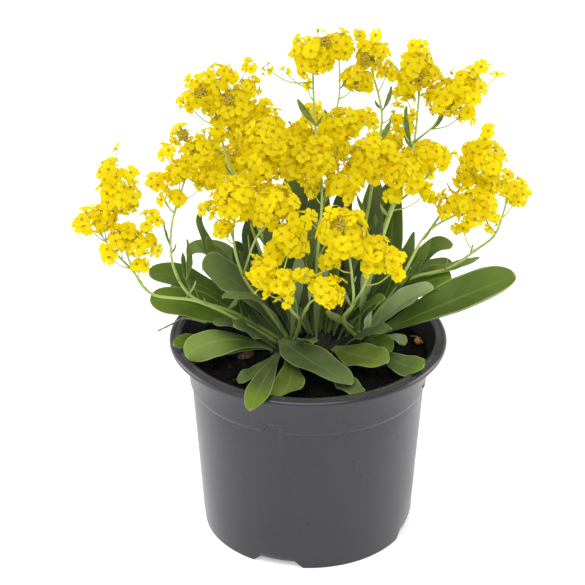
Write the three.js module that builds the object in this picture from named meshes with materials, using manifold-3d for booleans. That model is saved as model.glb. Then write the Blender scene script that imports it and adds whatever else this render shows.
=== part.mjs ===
// A basket of gold (Aurinia saxatilis) in flower, in a round nursery pot.
// Millimetres, +Z up. The origin is on the ground, under the middle of the plant,
// which is the pot's own axis. +X is to the right and -Y to the front.

import * as THREE from 'three';
import { mergeVertices } from 'three/addons/utils/BufferGeometryUtils.js';
import Module from 'manifold-3d';

// Driving dimensions of the pot

const RIM_RADIUS = 65;
const RIM_TOP = 98.8;
const RIM_DROP = 3;
const RIM_BEAD = 2.6;
const RIM_GROOVE = 0.6;
const RIM_INNER_RADIUS = 59.4;
const RIM_FLARE_HEIGHT = 5;
const LIP_SLOPE = 2;
const EDGE_ROUND = 0.8;
const WALL = 1.3;
const BAND_TOP_RADIUS = 57.6;
const BAND_FOOT_RADIUS = 56;
const SHOULDER_HEIGHT = 75.5;
const SHOULDER_STEP = 0.8;
const BODY_FOOT_RADIUS = 50.3;
const FOOT_HEIGHT = 6.3;
const FOOT_RADIUS = 49.6;
const FOOT_WIDTH = 3.6;
const FLOOR_HEIGHT = 4.6;
const QUARTERS = 4;
const QUARTER_TURN_OFFSET = -107;
const FOOT_GAP_ANGLE = 24;
const FOOT_GAP_HEIGHT = 3.4;
const FOOT_GAP_SLOPE = 4;
const NOTCH_WIDTH_FOOT = 10;
const NOTCH_WIDTH_TOP = 4.6;
const NOTCH_HEIGHT = 4.3;
const DRAIN_HOLES = 8;
const DRAIN_RADIUS = 4;
const DRAIN_CIRCLE = 34;
const DRAIN_FACETS = 12;
const POT_FACETS = 48;
const CUT_OVERLAP = 0.01;

// Driving dimensions of what stands in the pot

const GAP = 0.3;
const SOIL_EDGE_HEIGHT = 87;
const SOIL_MOUND = 2.5;
const SOIL_LUMP = 0.7;
const SOIL_LUMP_LENGTH = 20;
const SOIL_RINGS = [0.82, 0.6, 0.35];
const CROWN_FACETS = 10;
const LEAF_THICKNESS = 1.1;
const LEAF_STALK_SHARE = 0.2;
const LEAF_WIDEST = 0.66;
const LEAF_TIP_START = 0.74;
const LEAF_FOLD = 0.15;
const LEAF_FOLD_CURVE = 1.5;
const LEAF_SIDES = 6;
const LEAF_STEPS = 9;
const STEM_RADIUS = 1.1;
const BRANCH_RADIUS = 0.75;
const STEM_FACETS = 3;
const STEM_STEP = 10;
const BALL_DETAIL = 1;
const HEAD_CRIMP = 0.12;
const HEAD_CRIMP_WAVE = [7, 5, 4];

// Colours of the pieces

const POT_GREY = '#4b4a4e';
const SOIL_BLACK = '#15130f';
const WOOD_BROWN = '#6b5a3c';
const STEM_GREEN = '#a9bf62';
const LEAF_GREEN = '#5f7a3a';
const LEAF_PALE = '#8ba05c';
const PETAL_YELLOW = '#f2cf00';
const BARK_BROWN = '#6a4030';
const PRILL_ORANGE = '#b8722a';

// The woody crown: short branches from one root neck to three leaf rosettes,
// each written as its two ends and its radius.

const CROWN_BRANCHES = [
  { from: [3, 2, 82], to: [-12, -3, 92], radius: 8 },
  { from: [3, 2, 82], to: [5, 5, 93], radius: 8 },
  { from: [3, 2, 82], to: [25, 0, 94], radius: 7.5 },
];

// Leaves: where the stalk starts, the middle of the midrib, the tip,
// the widest width, and how far the blade is rolled about its midrib.

const LEAVES = {
  leaf_front_dark: { line: [[-10, -5, 96], [1, -26, 99], [19, -47, 97]], width: 20, roll: -12 },
  leaf_front_right: { line: [[14, -2, 92], [22, -20, 97], [36, -32, 101]], width: 15, roll: -10 },
  leaf_rim_tongue: { line: [[-13, -8, 93], [-20, -48, 101], [-26, -70, 98]], width: 12.5, roll: 0 },
  leaf_rim_broad: { line: [[-11, -8, 93], [-8, -36, 95], [-15, -55, 95]], width: 14, roll: 0 },
  leaf_right_rim: { line: [[28, -3, 95], [43, -26, 94], [52, -38, 101]], width: 12, roll: -14 },
  leaf_left_bright: { line: [[-16, -5, 93], [-38, -14, 103], [-56, -28, 102]], width: 14, roll: 30 },
  leaf_left_round: { line: [[-12, -1, 97], [-31, -6, 126], [-48, -14, 139]], width: 22, roll: 22 },
  leaf_right_long: { line: [[29, 1, 96], [62, 6, 112], [97, 10, 125]], width: 20, roll: -22 },
  leaf_left_dark: { line: [[-16, -2, 94], [-46, -4, 113], [-73, -8, 120]], width: 16, roll: 30 },
  leaf_left_upper: { line: [[-15, 0, 95], [-47, 8, 118], [-74, 4, 128]], width: 14, roll: 18 },
  leaf_right_mid: { line: [[27, 3, 97], [49, 16, 113], [68, 20, 118]], width: 16, roll: -14 },
  leaf_right_pale: { line: [[28, -1, 98], [43, 0, 114], [57, 0, 122]], width: 14, roll: -20 },
  leaf_left_narrow: { line: [[-10, -4, 96], [-21, -18, 124], [-39, -28, 132]], width: 8, roll: 10 },
  leaf_left_short: { line: [[-15, -6, 94], [-25, -14, 106], [-34, -22, 115]], width: 11, roll: 15 },
  leaf_left_low: { line: [[-17, -4, 92], [-35, -12, 96], [-53, -18, 98]], width: 11, roll: 25 },
  leaf_soil_small: { line: [[-14, -7, 92], [-24, -28, 94], [-32, -38, 94]], width: 9, roll: 0 },
  leaf_right_upper: { line: [[26, 3, 97], [50, 24, 123], [69, 34, 129]], width: 12, roll: -5 },
  leaf_left_erect: { line: [[-13, 1, 95], [-42, 14, 127], [-51, 18, 152]], width: 9, roll: 0 },
  leaf_back_round: { line: [[3, 8, 97], [-4, 24, 140], [-8, 32, 167]], width: 10, roll: 0 },
  leaf_rear_left: { line: [[-10, 2, 93], [-34, 36, 116], [-58, 50, 118]], width: 16, roll: -10 },
  leaf_rear_middle: { line: [[4, 9, 95], [2, 44, 112], [-6, 70, 108]], width: 16, roll: 0 },
  leaf_rear_right: { line: [[18, 4, 93], [34, 38, 114], [46, 60, 112]], width: 15, roll: 10 },
};

// Flowering stems: the main line first, then its side branches, and the small
// leaves that clasp it, each written as its foot, its tip and its width.

const STEMS = {
  stem_front_left: {
    lines: [
      [[-7, -3, 95], [-4, -14, 112], [-8, -32, 128], [-15, -50, 151]],
      [[-4, -14, 112], [0, -36, 133], [6, -57, 149]],
    ],
    leaves: [],
  },
  stem_front_right: {
    lines: [
      [[24, -3, 97], [16, -12, 112], [20, -26, 128], [19, -38, 148], [17, -44, 165]],
      [[20, -26, 128], [24, -38, 142], [28, -47, 160]],
    ],
    leaves: [{ foot: [21, -8, 106], tip: [8, -16, 119], width: 5 }],
  },
  stem_left: {
    lines: [[[-13, -1, 96], [-35, -4, 112], [-54, -7, 122], [-62, -8, 139], [-62, -5, 158], [-56, -2, 178]]],
    leaves: [
      { foot: [-62, -7, 146], tip: [-66, -4, 160], width: 4 },
      { foot: [-54, -6, 124], tip: [-58, 2, 140], width: 6 },
      { foot: [-56, -6, 130], tip: [-56, 6, 145], width: 5 },
    ],
  },
  stem_far_left: {
    lines: [
      [[-15, -4, 96], [-32, -10, 111], [-51, -16, 124], [-71, -24, 132], [-78, -30, 146], [-82, -31, 160]],
      [[-78, -30, 146], [-88, -28, 157], [-95, -28, 168]],
    ],
    leaves: [{ foot: [-70, -24, 131], tip: [-76, -26, 141], width: 3 }],
  },
  stem_centre_left: {
    lines: [
      [[-9, -1, 96], [-21, -4, 116], [-30, -8, 133], [-34, -16, 158], [-32, -20, 172]],
      [[-30, -8, 133], [-24, -20, 157], [-18, -26, 170]],
    ],
    leaves: [],
  },
  stem_upper_left: {
    lines: [
      [[1, 5, 96], [-19, 12, 127], [-32, 20, 163], [-40, 24, 187], [-43, 24, 204]],
      [[-32, 20, 163], [-22, 12, 180], [-18, 6, 188]],
    ],
    leaves: [],
  },
  stem_centre: {
    lines: [
      [[3, 3, 97], [4, 3, 135], [6, 2, 162], [6, 0, 178]],
      [[4, 3, 135], [17, 4, 163], [25, 4, 177]],
      [[6, 2, 162], [12, 12, 182], [14, 15, 192]],
    ],
    leaves: [],
  },
  stem_top_left: {
    lines: [
      [[4, 7, 97], [7, 20, 138], [5, 30, 174], [3, 34, 192], [2, 36, 217]],
      [[5, 30, 174], [14, 36, 202], [14, 38, 221]],
    ],
    leaves: [{ foot: [4, 33, 190], tip: [-6, 34, 205], width: 4.5 }],
  },
  stem_top_middle: {
    lines: [[[8, 7, 97], [25, 20, 138], [32, 30, 179], [34, 34, 195], [29, 36, 217]]],
    leaves: [
      { foot: [18, 15, 120], tip: [31, 36, 164], width: 7 },
      { foot: [32, 31, 182], tip: [38, 28, 195], width: 4.5 },
      { foot: [34, 34, 197], tip: [38, 32, 210], width: 3.5 },
    ],
  },
  stem_top_right: {
    lines: [
      [[19, 3, 95], [34, 18, 141], [46, 28, 172], [49, 30, 183], [51, 32, 209]],
      [[49, 30, 183], [58, 29, 192], [62, 28, 200]],
    ],
    leaves: [
      { foot: [48, 29, 181], tip: [45, 28, 202], width: 4.5 },
      { foot: [57, 29, 190], tip: [62, 24, 200], width: 4 },
    ],
  },
  stem_right_centre: {
    lines: [
      [[22, 1, 98], [31, 4, 134], [39, 0, 165], [43, -2, 176]],
      [[39, 0, 165], [52, 2, 176], [57, 4, 182]],
    ],
    leaves: [{ foot: [21, 0, 104], tip: [35, -10, 123], width: 10 }],
  },
  stem_right: {
    lines: [
      [[26, 2, 98], [44, 8, 125], [56, 12, 146], [73, 14, 156]],
      [[56, 12, 146], [68, 18, 162], [77, 21, 173]],
    ],
    leaves: [],
  },
  stem_far_right: {
    lines: [
      [[27, 1, 97], [45, 13, 119], [67, 22, 122], [79, 26, 129], [88, 28, 136], [92, 30, 147], [94, 30, 158]],
    ],
    leaves: [{ foot: [56, 18, 120], tip: [82, 31, 123], width: 9 }],
  },
  stem_rear_left: {
    lines: [
      [[2, 7, 96], [-18, 28, 127], [-34, 46, 158]],
      [[-18, 28, 127], [-8, 44, 147], [1, 55, 167]],
    ],
    leaves: [],
  },
  stem_rear_right: {
    lines: [[[9, 7, 95], [27, 32, 132], [45, 50, 164]]],
    leaves: [],
  },
};

// Flower heads: each is one crowded cluster, written as the centres and the
// radii of the bunches of flowers that it is made of.

const FLOWER_HEADS = {
  flowers_far_left: [
    { at: [-84, -22, 179], radius: 9 },
    { at: [-88, -22, 192], radius: 6 },
    { at: [-91, -26, 171], radius: 7 },
    { at: [-98.3, -28, 170], radius: 6 },
    { at: [-83, -32, 164], radius: 8 },
    { at: [-73, -34, 161], radius: 7 },
  ],
  flowers_left: [
    { at: [-58, -2, 183], radius: 7 },
    { at: [-49, 2, 191], radius: 9 },
    { at: [-68, -6, 180], radius: 5.5 },
    { at: [-46, -2, 179], radius: 7 },
  ],
  flowers_upper_left: [
    { at: [-46, 24, 210], radius: 10 },
    { at: [-33, 22, 202], radius: 10 },
    { at: [-39, 26, 218], radius: 6 },
    { at: [-55, 24, 205], radius: 5 },
    { at: [-27, 26, 212], radius: 5.5 },
  ],
  flowers_centre_left: [
    { at: [-21, 4, 195], radius: 11 },
    { at: [-10, 2, 187], radius: 10 },
    { at: [-23, -8, 185], radius: 8 },
  ],
  flowers_front_upper: [
    { at: [-32, -22, 178], radius: 11 },
    { at: [-16, -26, 176], radius: 11 },
    { at: [-8, -36, 165], radius: 8 },
  ],
  flowers_front_left: [
    { at: [-21, -50, 156], radius: 7 },
    { at: [-11, -54, 152], radius: 6 },
  ],
  flowers_front_small: [
    { at: [7, -60, 153], radius: 7 },
    { at: [10, -59, 149], radius: 5.5 },
  ],
  flowers_front_right: [
    { at: [15, -46, 173], radius: 11 },
    { at: [27, -48, 167], radius: 7 },
    { at: [36, -46, 161], radius: 5.5 },
  ],
  flowers_centre: [
    { at: [4, 0, 186], radius: 11 },
    { at: [16, -4, 177], radius: 8 },
    { at: [27, 4, 185], radius: 11 },
    { at: [15, 15, 198], radius: 9 },
  ],
  flowers_right_centre: [
    { at: [43, -2, 182], radius: 9 },
    { at: [57, 4, 187], radius: 7.5 },
  ],
  flowers_top_left: [
    { at: [2, 36, 224], radius: 9.9 },
    { at: [14, 38, 227], radius: 8 },
  ],
  flowers_top_middle: [
    { at: [29, 36, 223], radius: 8 },
    { at: [23, 34, 213], radius: 7 },
  ],
  flowers_top_right: [
    { at: [50, 32, 217], radius: 10 },
    { at: [44, 30, 208], radius: 6 },
    { at: [62, 28, 206], radius: 9 },
    { at: [71, 28, 211], radius: 9 },
  ],
  flowers_right: [
    { at: [80, 22, 179], radius: 10 },
    { at: [84, 21, 167], radius: 7 },
    { at: [79, 16, 157], radius: 10 },
    { at: [67, 11, 160], radius: 7 },
  ],
  flowers_far_right: [
    { at: [93, 30, 161], radius: 5.5 },
    { at: [98.3, 32, 155], radius: 6 },
  ],
  flowers_rear_left: [
    { at: [-40, 46, 163], radius: 10 },
    { at: [-27, 52, 168], radius: 10 },
  ],
  flowers_rear_middle: [
    { at: [-4, 56, 172], radius: 10 },
    { at: [11, 58, 172], radius: 10 },
  ],
  flowers_rear_right: [
    { at: [37, 54, 169], radius: 10 },
    { at: [53, 48, 167], radius: 9 },
  ],
};

// What lies on the soil

const BARK_CHIP = { at: [-29, -7, 90.4], size: [8, 5, 1.6], turn: 25 };
const PRILL = { at: [52.3, 9, 89.6], radius: 1.9 };

const wasm = await Module();
wasm.setup();

// Solids

const vector = ([x, y, z]) => new THREE.Vector3(x, y, z);
const radians = THREE.MathUtils.degToRad;

function solidOf(geometry) {
  const bare = geometry.clone();
  bare.deleteAttribute('normal');
  bare.deleteAttribute('uv');
  const merged = mergeVertices(bare, 1e-4);
  return new wasm.Manifold(new wasm.Mesh({
    numProp: 3,
    vertProperties: new Float32Array(merged.attributes.position.array),
    triVerts: new Uint32Array(merged.index.array),
  }));
}

function geometryOf(solid) {
  const mesh = solid.getMesh();
  const geometry = new THREE.BufferGeometry();
  geometry.setAttribute('position', new THREE.BufferAttribute(mesh.vertProperties, 3));
  geometry.setIndex(new THREE.BufferAttribute(mesh.triVerts, 1));
  geometry.computeVertexNormals();
  return geometry;
}

function joined(solids) {
  return solids.reduce((whole, next) => whole.add(next));
}

function largestPart(solid) {
  const parts = solid.decompose();
  return parts.reduce((best, next) => (next.volume() > best.volume() ? next : best));
}

// The pot

function wallRadius(height) {
  const share = (height - FOOT_HEIGHT) / (SHOULDER_HEIGHT - FOOT_HEIGHT);
  return BODY_FOOT_RADIUS + share * (BAND_FOOT_RADIUS - SHOULDER_STEP - BODY_FOOT_RADIUS);
}

function turned(outline, facets) {
  const points = outline.map(([radius, height]) => new THREE.Vector2(radius, height));
  return new THREE.LatheGeometry(points, facets).rotateX(Math.PI / 2);
}

function potWall() {
  const lipFoot = RIM_TOP - RIM_DROP;
  const groove = RIM_RADIUS - RIM_BEAD;
  return solidOf(turned([
    [0, FLOOR_HEIGHT - WALL],
    [FOOT_RADIUS - FOOT_WIDTH, FLOOR_HEIGHT - WALL],
    [FOOT_RADIUS - FOOT_WIDTH, 0],
    [FOOT_RADIUS, 0],
    [BODY_FOOT_RADIUS, FOOT_HEIGHT],
    [wallRadius(SHOULDER_HEIGHT), SHOULDER_HEIGHT],
    [BAND_FOOT_RADIUS, SHOULDER_HEIGHT],
    [BAND_TOP_RADIUS, lipFoot - LIP_SLOPE],
    [BAND_TOP_RADIUS + LIP_SLOPE, lipFoot],
    [RIM_RADIUS - EDGE_ROUND / 2, lipFoot],
    [RIM_RADIUS, lipFoot + EDGE_ROUND],
    [RIM_RADIUS, RIM_TOP - EDGE_ROUND],
    [RIM_RADIUS - EDGE_ROUND, RIM_TOP],
    [groove + RIM_GROOVE, RIM_TOP],
    [groove, RIM_TOP - RIM_GROOVE],
    [groove - RIM_GROOVE, RIM_TOP],
    [RIM_INNER_RADIUS, RIM_TOP],
    [BAND_TOP_RADIUS - WALL, RIM_TOP - RIM_FLARE_HEIGHT],
    [BAND_FOOT_RADIUS - WALL, SHOULDER_HEIGHT],
    [BODY_FOOT_RADIUS - WALL, FOOT_HEIGHT + EDGE_ROUND],
    [BODY_FOOT_RADIUS - WALL - EDGE_ROUND, FLOOR_HEIGHT],
    [0, FLOOR_HEIGHT],
  ], POT_FACETS));
}

// The space that the upper wall and the rim need, with the gap around them

function potClearance() {
  const lipFoot = RIM_TOP - RIM_DROP - GAP;
  const innerFoot = BAND_FOOT_RADIUS - WALL - GAP;
  return solidOf(turned([
    [innerFoot, SHOULDER_HEIGHT],
    [BAND_TOP_RADIUS + GAP, SHOULDER_HEIGHT],
    [BAND_TOP_RADIUS + GAP, lipFoot - LIP_SLOPE],
    [BAND_TOP_RADIUS + LIP_SLOPE, lipFoot],
    [RIM_RADIUS + GAP, lipFoot],
    [RIM_RADIUS + GAP, RIM_TOP + GAP],
    [RIM_INNER_RADIUS - GAP, RIM_TOP + GAP],
    [BAND_TOP_RADIUS - WALL - GAP, RIM_TOP - RIM_FLARE_HEIGHT],
    [innerFoot, SHOULDER_HEIGHT],
  ], POT_FACETS));
}

function trapezoidBlock(footWidth, topWidth, height, reach) {
  const outline = new THREE.Shape();
  outline.moveTo(-footWidth / 2, 0);
  outline.lineTo(footWidth / 2, 0);
  outline.lineTo(topWidth / 2, height);
  outline.lineTo(-topWidth / 2, height);
  const block = new THREE.ExtrudeGeometry(outline, { depth: reach, bevelEnabled: false });
  block.rotateX(Math.PI / 2);
  return block;
}

function footGap(angle) {
  const width = 2 * FOOT_RADIUS * Math.sin(radians(FOOT_GAP_ANGLE) / 2);
  const reach = FOOT_WIDTH * 3;
  const gap = trapezoidBlock(width + FOOT_GAP_SLOPE, width - FOOT_GAP_SLOPE, FOOT_GAP_HEIGHT, reach);
  gap.translate(0, -(FOOT_RADIUS - reach / 2), -CUT_OVERLAP);
  gap.rotateZ(angle);
  return solidOf(gap);
}

function shoulderNotch(angle) {
  const reach = WALL * 4;
  const notch = trapezoidBlock(NOTCH_WIDTH_FOOT, NOTCH_WIDTH_TOP, NOTCH_HEIGHT, reach);
  notch.translate(0, -(BAND_FOOT_RADIUS - SHOULDER_STEP), SHOULDER_HEIGHT - CUT_OVERLAP);
  notch.rotateZ(angle);
  return solidOf(notch);
}

function drainHole(angle) {
  const hole = new THREE.CylinderGeometry(DRAIN_RADIUS, DRAIN_RADIUS, FLOOR_HEIGHT * 2, DRAIN_FACETS);
  hole.rotateX(Math.PI / 2);
  hole.translate(DRAIN_CIRCLE, 0, FLOOR_HEIGHT - WALL / 2);
  hole.rotateZ(angle);
  return solidOf(hole);
}

function pot() {
  let wall = potWall();
  for (let i = 0; i < QUARTERS; i += 1) {
    const angle = radians(QUARTER_TURN_OFFSET + 90) + (i * 2 * Math.PI) / QUARTERS;
    wall = wall.subtract(footGap(angle)).subtract(shoulderNotch(angle));
  }
  for (let i = 0; i < DRAIN_HOLES; i += 1) {
    wall = wall.subtract(drainHole(((i + 0.5) * 2 * Math.PI) / DRAIN_HOLES));
  }
  return wall;
}

// The soil

function lump(x, y) {
  const wave = (2 * Math.PI) / SOIL_LUMP_LENGTH;
  return SOIL_LUMP * (Math.sin(x * wave + 1) * Math.cos(y * wave) + Math.sin((2 * y + x / 2) * wave) / 2);
}

function soil() {
  const clear = WALL + GAP;
  const edgeShare = (SOIL_EDGE_HEIGHT - SHOULDER_HEIGHT) / (RIM_TOP - SHOULDER_HEIGHT);
  const edgeRadius = BAND_FOOT_RADIUS - clear + edgeShare * (BAND_TOP_RADIUS - BAND_FOOT_RADIUS);
  const lathe = turned([
    [0, FLOOR_HEIGHT + GAP],
    [BODY_FOOT_RADIUS - clear - EDGE_ROUND, FLOOR_HEIGHT + GAP],
    [BODY_FOOT_RADIUS - clear, FOOT_HEIGHT + 2 * EDGE_ROUND],
    [BAND_FOOT_RADIUS - clear, SHOULDER_HEIGHT],
    [edgeRadius, SOIL_EDGE_HEIGHT],
    ...SOIL_RINGS.map((share) => [edgeRadius * share, SOIL_EDGE_HEIGHT + SOIL_MOUND * (1 - share ** 2)]),
    [0, SOIL_EDGE_HEIGHT + SOIL_MOUND],
  ], POT_FACETS / 2);
  const position = lathe.attributes.position;
  for (let i = 0; i < position.count; i += 1) {
    const top = position.getZ(i) > SOIL_EDGE_HEIGHT + CUT_OVERLAP;
    if (top) position.setZ(i, position.getZ(i) + lump(position.getX(i), position.getY(i)));
  }
  return solidOf(lathe);
}

// The crown

function crown(grow) {
  const branches = CROWN_BRANCHES.map(({ from, to, radius }) => {
    const start = vector(from);
    const end = vector(to);
    const branch = new THREE.CapsuleGeometry(radius + grow, start.distanceTo(end), 3, CROWN_FACETS);
    const up = new THREE.Vector3(0, 1, 0);
    branch.applyQuaternion(new THREE.Quaternion().setFromUnitVectors(up, end.clone().sub(start).normalize()));
    branch.translate(...start.add(end).multiplyScalar(0.5).toArray());
    return solidOf(branch);
  });
  return joined(branches);
}

// A leaf: a closed ball drawn out along its midrib, flat across, with the
// margins lifted a little.

function leafHalfWidth(share, width) {
  const rise = THREE.MathUtils.smoothstep(share / LEAF_WIDEST, 0, 1);
  const tip = Math.max(0, (share - LEAF_TIP_START) / (1 - LEAF_TIP_START));
  const body = LEAF_STALK_SHARE + (1 - LEAF_STALK_SHARE) * rise;
  return (width / 2) * body * Math.sqrt(Math.max(0, 1 - tip * tip));
}

function midribOf(line) {
  const [foot, middle, tip] = line.map(vector);
  const bend = middle.multiplyScalar(2).sub(foot.clone().add(tip).multiplyScalar(0.5));
  return new THREE.QuadraticBezierCurve3(foot, bend, tip);
}

function leafBlade(line, width, roll, grow) {
  const midrib = midribOf(line);
  const inward = new THREE.Vector3(-midrib.v2.x, -midrib.v2.y, 0).normalize();
  const facing = inward.add(new THREE.Vector3(0, 0, 1));
  const ball = new THREE.SphereGeometry(1, LEAF_SIDES, LEAF_STEPS);
  const position = ball.attributes.position;
  for (let i = 0; i < position.count; i += 1) {
    const share = Math.acos(THREE.MathUtils.clamp(position.getY(i), -1, 1)) / Math.PI;
    const girth = Math.hypot(position.getX(i), position.getZ(i));
    const isEnd = girth < 1e-6;
    const across = isEnd ? 0 : position.getX(i) / girth;
    const thick = isEnd ? 0 : -position.getZ(i) / girth;
    const half = isEnd ? 0 : leafHalfWidth(share, width) + grow;
    const along = midrib.getTangent(share);
    const side = along.clone().cross(facing).normalize().applyAxisAngle(along, -radians(roll));
    const upper = side.clone().cross(along);
    const lift = thick * (LEAF_THICKNESS / 2 + grow) + LEAF_FOLD * half * Math.abs(across) ** LEAF_FOLD_CURVE;
    const place = midrib.getPoint(share).addScaledVector(side, across * half).addScaledVector(upper, lift);
    if (isEnd) place.addScaledVector(along, Math.sign(share - 0.5) * grow);
    position.setXYZ(i, place.x, place.y, place.z);
  }
  return solidOf(ball);
}

// A stem: round canes along smooth lines, with small leaves clasping them.

function cane(line, radius) {
  const path = new THREE.CatmullRomCurve3(line.map(vector), false, 'centripetal');
  const section = new THREE.Shape().absarc(0, 0, radius, 0, 2 * Math.PI);
  const steps = Math.max(3, Math.round(path.getLength() / STEM_STEP));
  return solidOf(new THREE.ExtrudeGeometry(section, {
    steps,
    curveSegments: STEM_FACETS,
    bevelEnabled: false,
    extrudePath: path,
  }));
}

function claspingLeaf({ foot, tip, width }, grow) {
  const middle = vector(foot).lerp(vector(tip), 0.5);
  middle.x += Math.sign(tip[0] - foot[0]);
  return leafBlade([foot, middle.toArray(), tip], width, 0, grow);
}

function stem({ lines, leaves }, grow) {
  const canes = lines.map((line, i) => cane(line, (i === 0 ? STEM_RADIUS : BRANCH_RADIUS) + grow));
  return joined([...canes, ...leaves.map((leaf) => claspingLeaf(leaf, grow))]);
}

// A flower head

function crimpedBall(at, radius, grow) {
  const ball = new THREE.IcosahedronGeometry(1, BALL_DETAIL);
  const position = ball.attributes.position;
  const out = new THREE.Vector3();
  for (let i = 0; i < position.count; i += 1) {
    out.fromBufferAttribute(position, i);
    const wave = Math.sin(out.dot(vector(HEAD_CRIMP_WAVE)) + at[2]);
    out.multiplyScalar(radius * (1 + HEAD_CRIMP * wave) + grow);
    position.setXYZ(i, out.x, out.y, out.z);
  }
  ball.translate(...at);
  return solidOf(ball);
}

function flowerHead(bunches, grow) {
  return joined(bunches.map(({ at, radius }) => crimpedBall(at, radius, grow)));
}

// The bark chip and the fertiliser prill

function barkChip(grow) {
  const chip = new THREE.IcosahedronGeometry(1, BALL_DETAIL);
  chip.scale(...BARK_CHIP.size.map((side) => side / 2 + grow));
  chip.rotateZ(radians(BARK_CHIP.turn));
  chip.translate(...BARK_CHIP.at);
  return solidOf(chip);
}

function prill(grow) {
  const ball = new THREE.IcosahedronGeometry(PRILL.radius + grow, BALL_DETAIL);
  ball.translate(...PRILL.at);
  return solidOf(ball);
}

// Assembly: every later piece is cut clear of the ones that are already in place.

const group = new THREE.Group();
let taken = potClearance();

function addMesh(name, solid, colour, roughness) {
  const material = new THREE.MeshStandardMaterial({ color: colour, roughness, metalness: 0 });
  const mesh = new THREE.Mesh(geometryOf(solid), material);
  mesh.name = name;
  group.add(mesh);
}

function addGrown(name, shape, colour, roughness) {
  addMesh(name, largestPart(shape(0).subtract(taken)), colour, roughness);
  taken = taken.add(shape(GAP));
}

addMesh('pot', pot(), POT_GREY, 0.45);
addGrown('crown', crown, WOOD_BROWN, 0.9);
addGrown('bark_chip', barkChip, BARK_BROWN, 0.9);
addGrown('fertiliser_prill', prill, PRILL_ORANGE, 0.6);
addMesh('soil', largestPart(soil().subtract(taken)), SOIL_BLACK, 1);
taken = taken.add(soil().translate([0, 0, GAP]));
for (const [name, form] of Object.entries(STEMS)) {
  addGrown(name, (grow) => stem(form, grow), STEM_GREEN, 0.7);
}
for (const [name, { line, width, roll }] of Object.entries(LEAVES)) {
  const pale = name.includes('bright') || name.includes('pale');
  addGrown(name, (grow) => leafBlade(line, width, roll, grow), pale ? LEAF_PALE : LEAF_GREEN, 0.8);
}
for (const [name, bunches] of Object.entries(FLOWER_HEADS)) {
  addGrown(name, (grow) => flowerHead(bunches, grow), PETAL_YELLOW, 0.7);
}

export default group;
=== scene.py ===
"""A basket of gold in flower, in a round nursery pot.

Lengths are in metres and +Z is up. The origin is on the ground under the pot's own
axis, +X is to the viewer's right and -Y is to the front. Points of the plant are
written in millimetres and scaled by MM where they are used.
"""

from __future__ import annotations

import logging
import math
from collections.abc import Callable, Mapping, Sequence
from dataclasses import dataclass, field, replace
from enum import Enum, IntEnum
from random import Random

import bmesh
import bpy
import numpy as np
from mathutils import Matrix, Quaternion, Vector, noise


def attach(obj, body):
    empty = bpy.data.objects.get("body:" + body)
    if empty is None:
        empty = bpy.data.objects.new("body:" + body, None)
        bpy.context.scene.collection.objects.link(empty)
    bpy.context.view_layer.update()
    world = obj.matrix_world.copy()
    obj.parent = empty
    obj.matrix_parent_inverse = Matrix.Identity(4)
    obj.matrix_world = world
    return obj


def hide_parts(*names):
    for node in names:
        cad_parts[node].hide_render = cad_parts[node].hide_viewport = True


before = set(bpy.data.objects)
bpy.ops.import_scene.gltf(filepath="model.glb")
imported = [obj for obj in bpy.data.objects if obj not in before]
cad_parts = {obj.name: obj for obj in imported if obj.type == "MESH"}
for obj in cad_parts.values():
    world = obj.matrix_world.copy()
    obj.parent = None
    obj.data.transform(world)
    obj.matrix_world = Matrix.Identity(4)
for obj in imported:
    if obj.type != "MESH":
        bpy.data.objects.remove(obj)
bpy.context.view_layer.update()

MM = 0.001
BODY = "root"
BAKE_MAP = "OFBake"
LOG = logging.getLogger("basket_of_gold")

Point = tuple[float, float, float]
Colour = tuple[float, float, float]


def srgb(red: int, green: int, blue: int) -> Colour:
    """Returns the linear colour of three screen values from 0 to 255."""

    def linear(level: int) -> float:
        """Returns one channel's linear value."""
        share = level / 255
        return share / 12.92 if share <= 0.04045 else ((share + 0.055) / 1.055) ** 2.4

    return linear(red), linear(green), linear(blue)


def smoothstep(low: float, high: float, value: np.ndarray | float) -> np.ndarray | float:
    """Returns a smooth rise from 0 at low to 1 at high."""
    share = np.clip((value - low) / (high - low), 0, 1)
    return share * share * (3 - 2 * share)


class Region(Enum):
    """The share of a piece's flat map that a kind of surface takes: its foot and its height."""

    STALK = (0.01, 0.14)
    BUD = (0.17, 0.06)
    BLADE = (0.26, 0.73)

    def spread(self, along: np.ndarray, over: np.ndarray) -> np.ndarray:
        """Returns flat coordinates for shares along and over the region, each from 0 to 1."""
        foot, height = self.value
        return np.stack([along.ravel(), foot + height * over.ravel()], axis=1)


# Shader graphs


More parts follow.
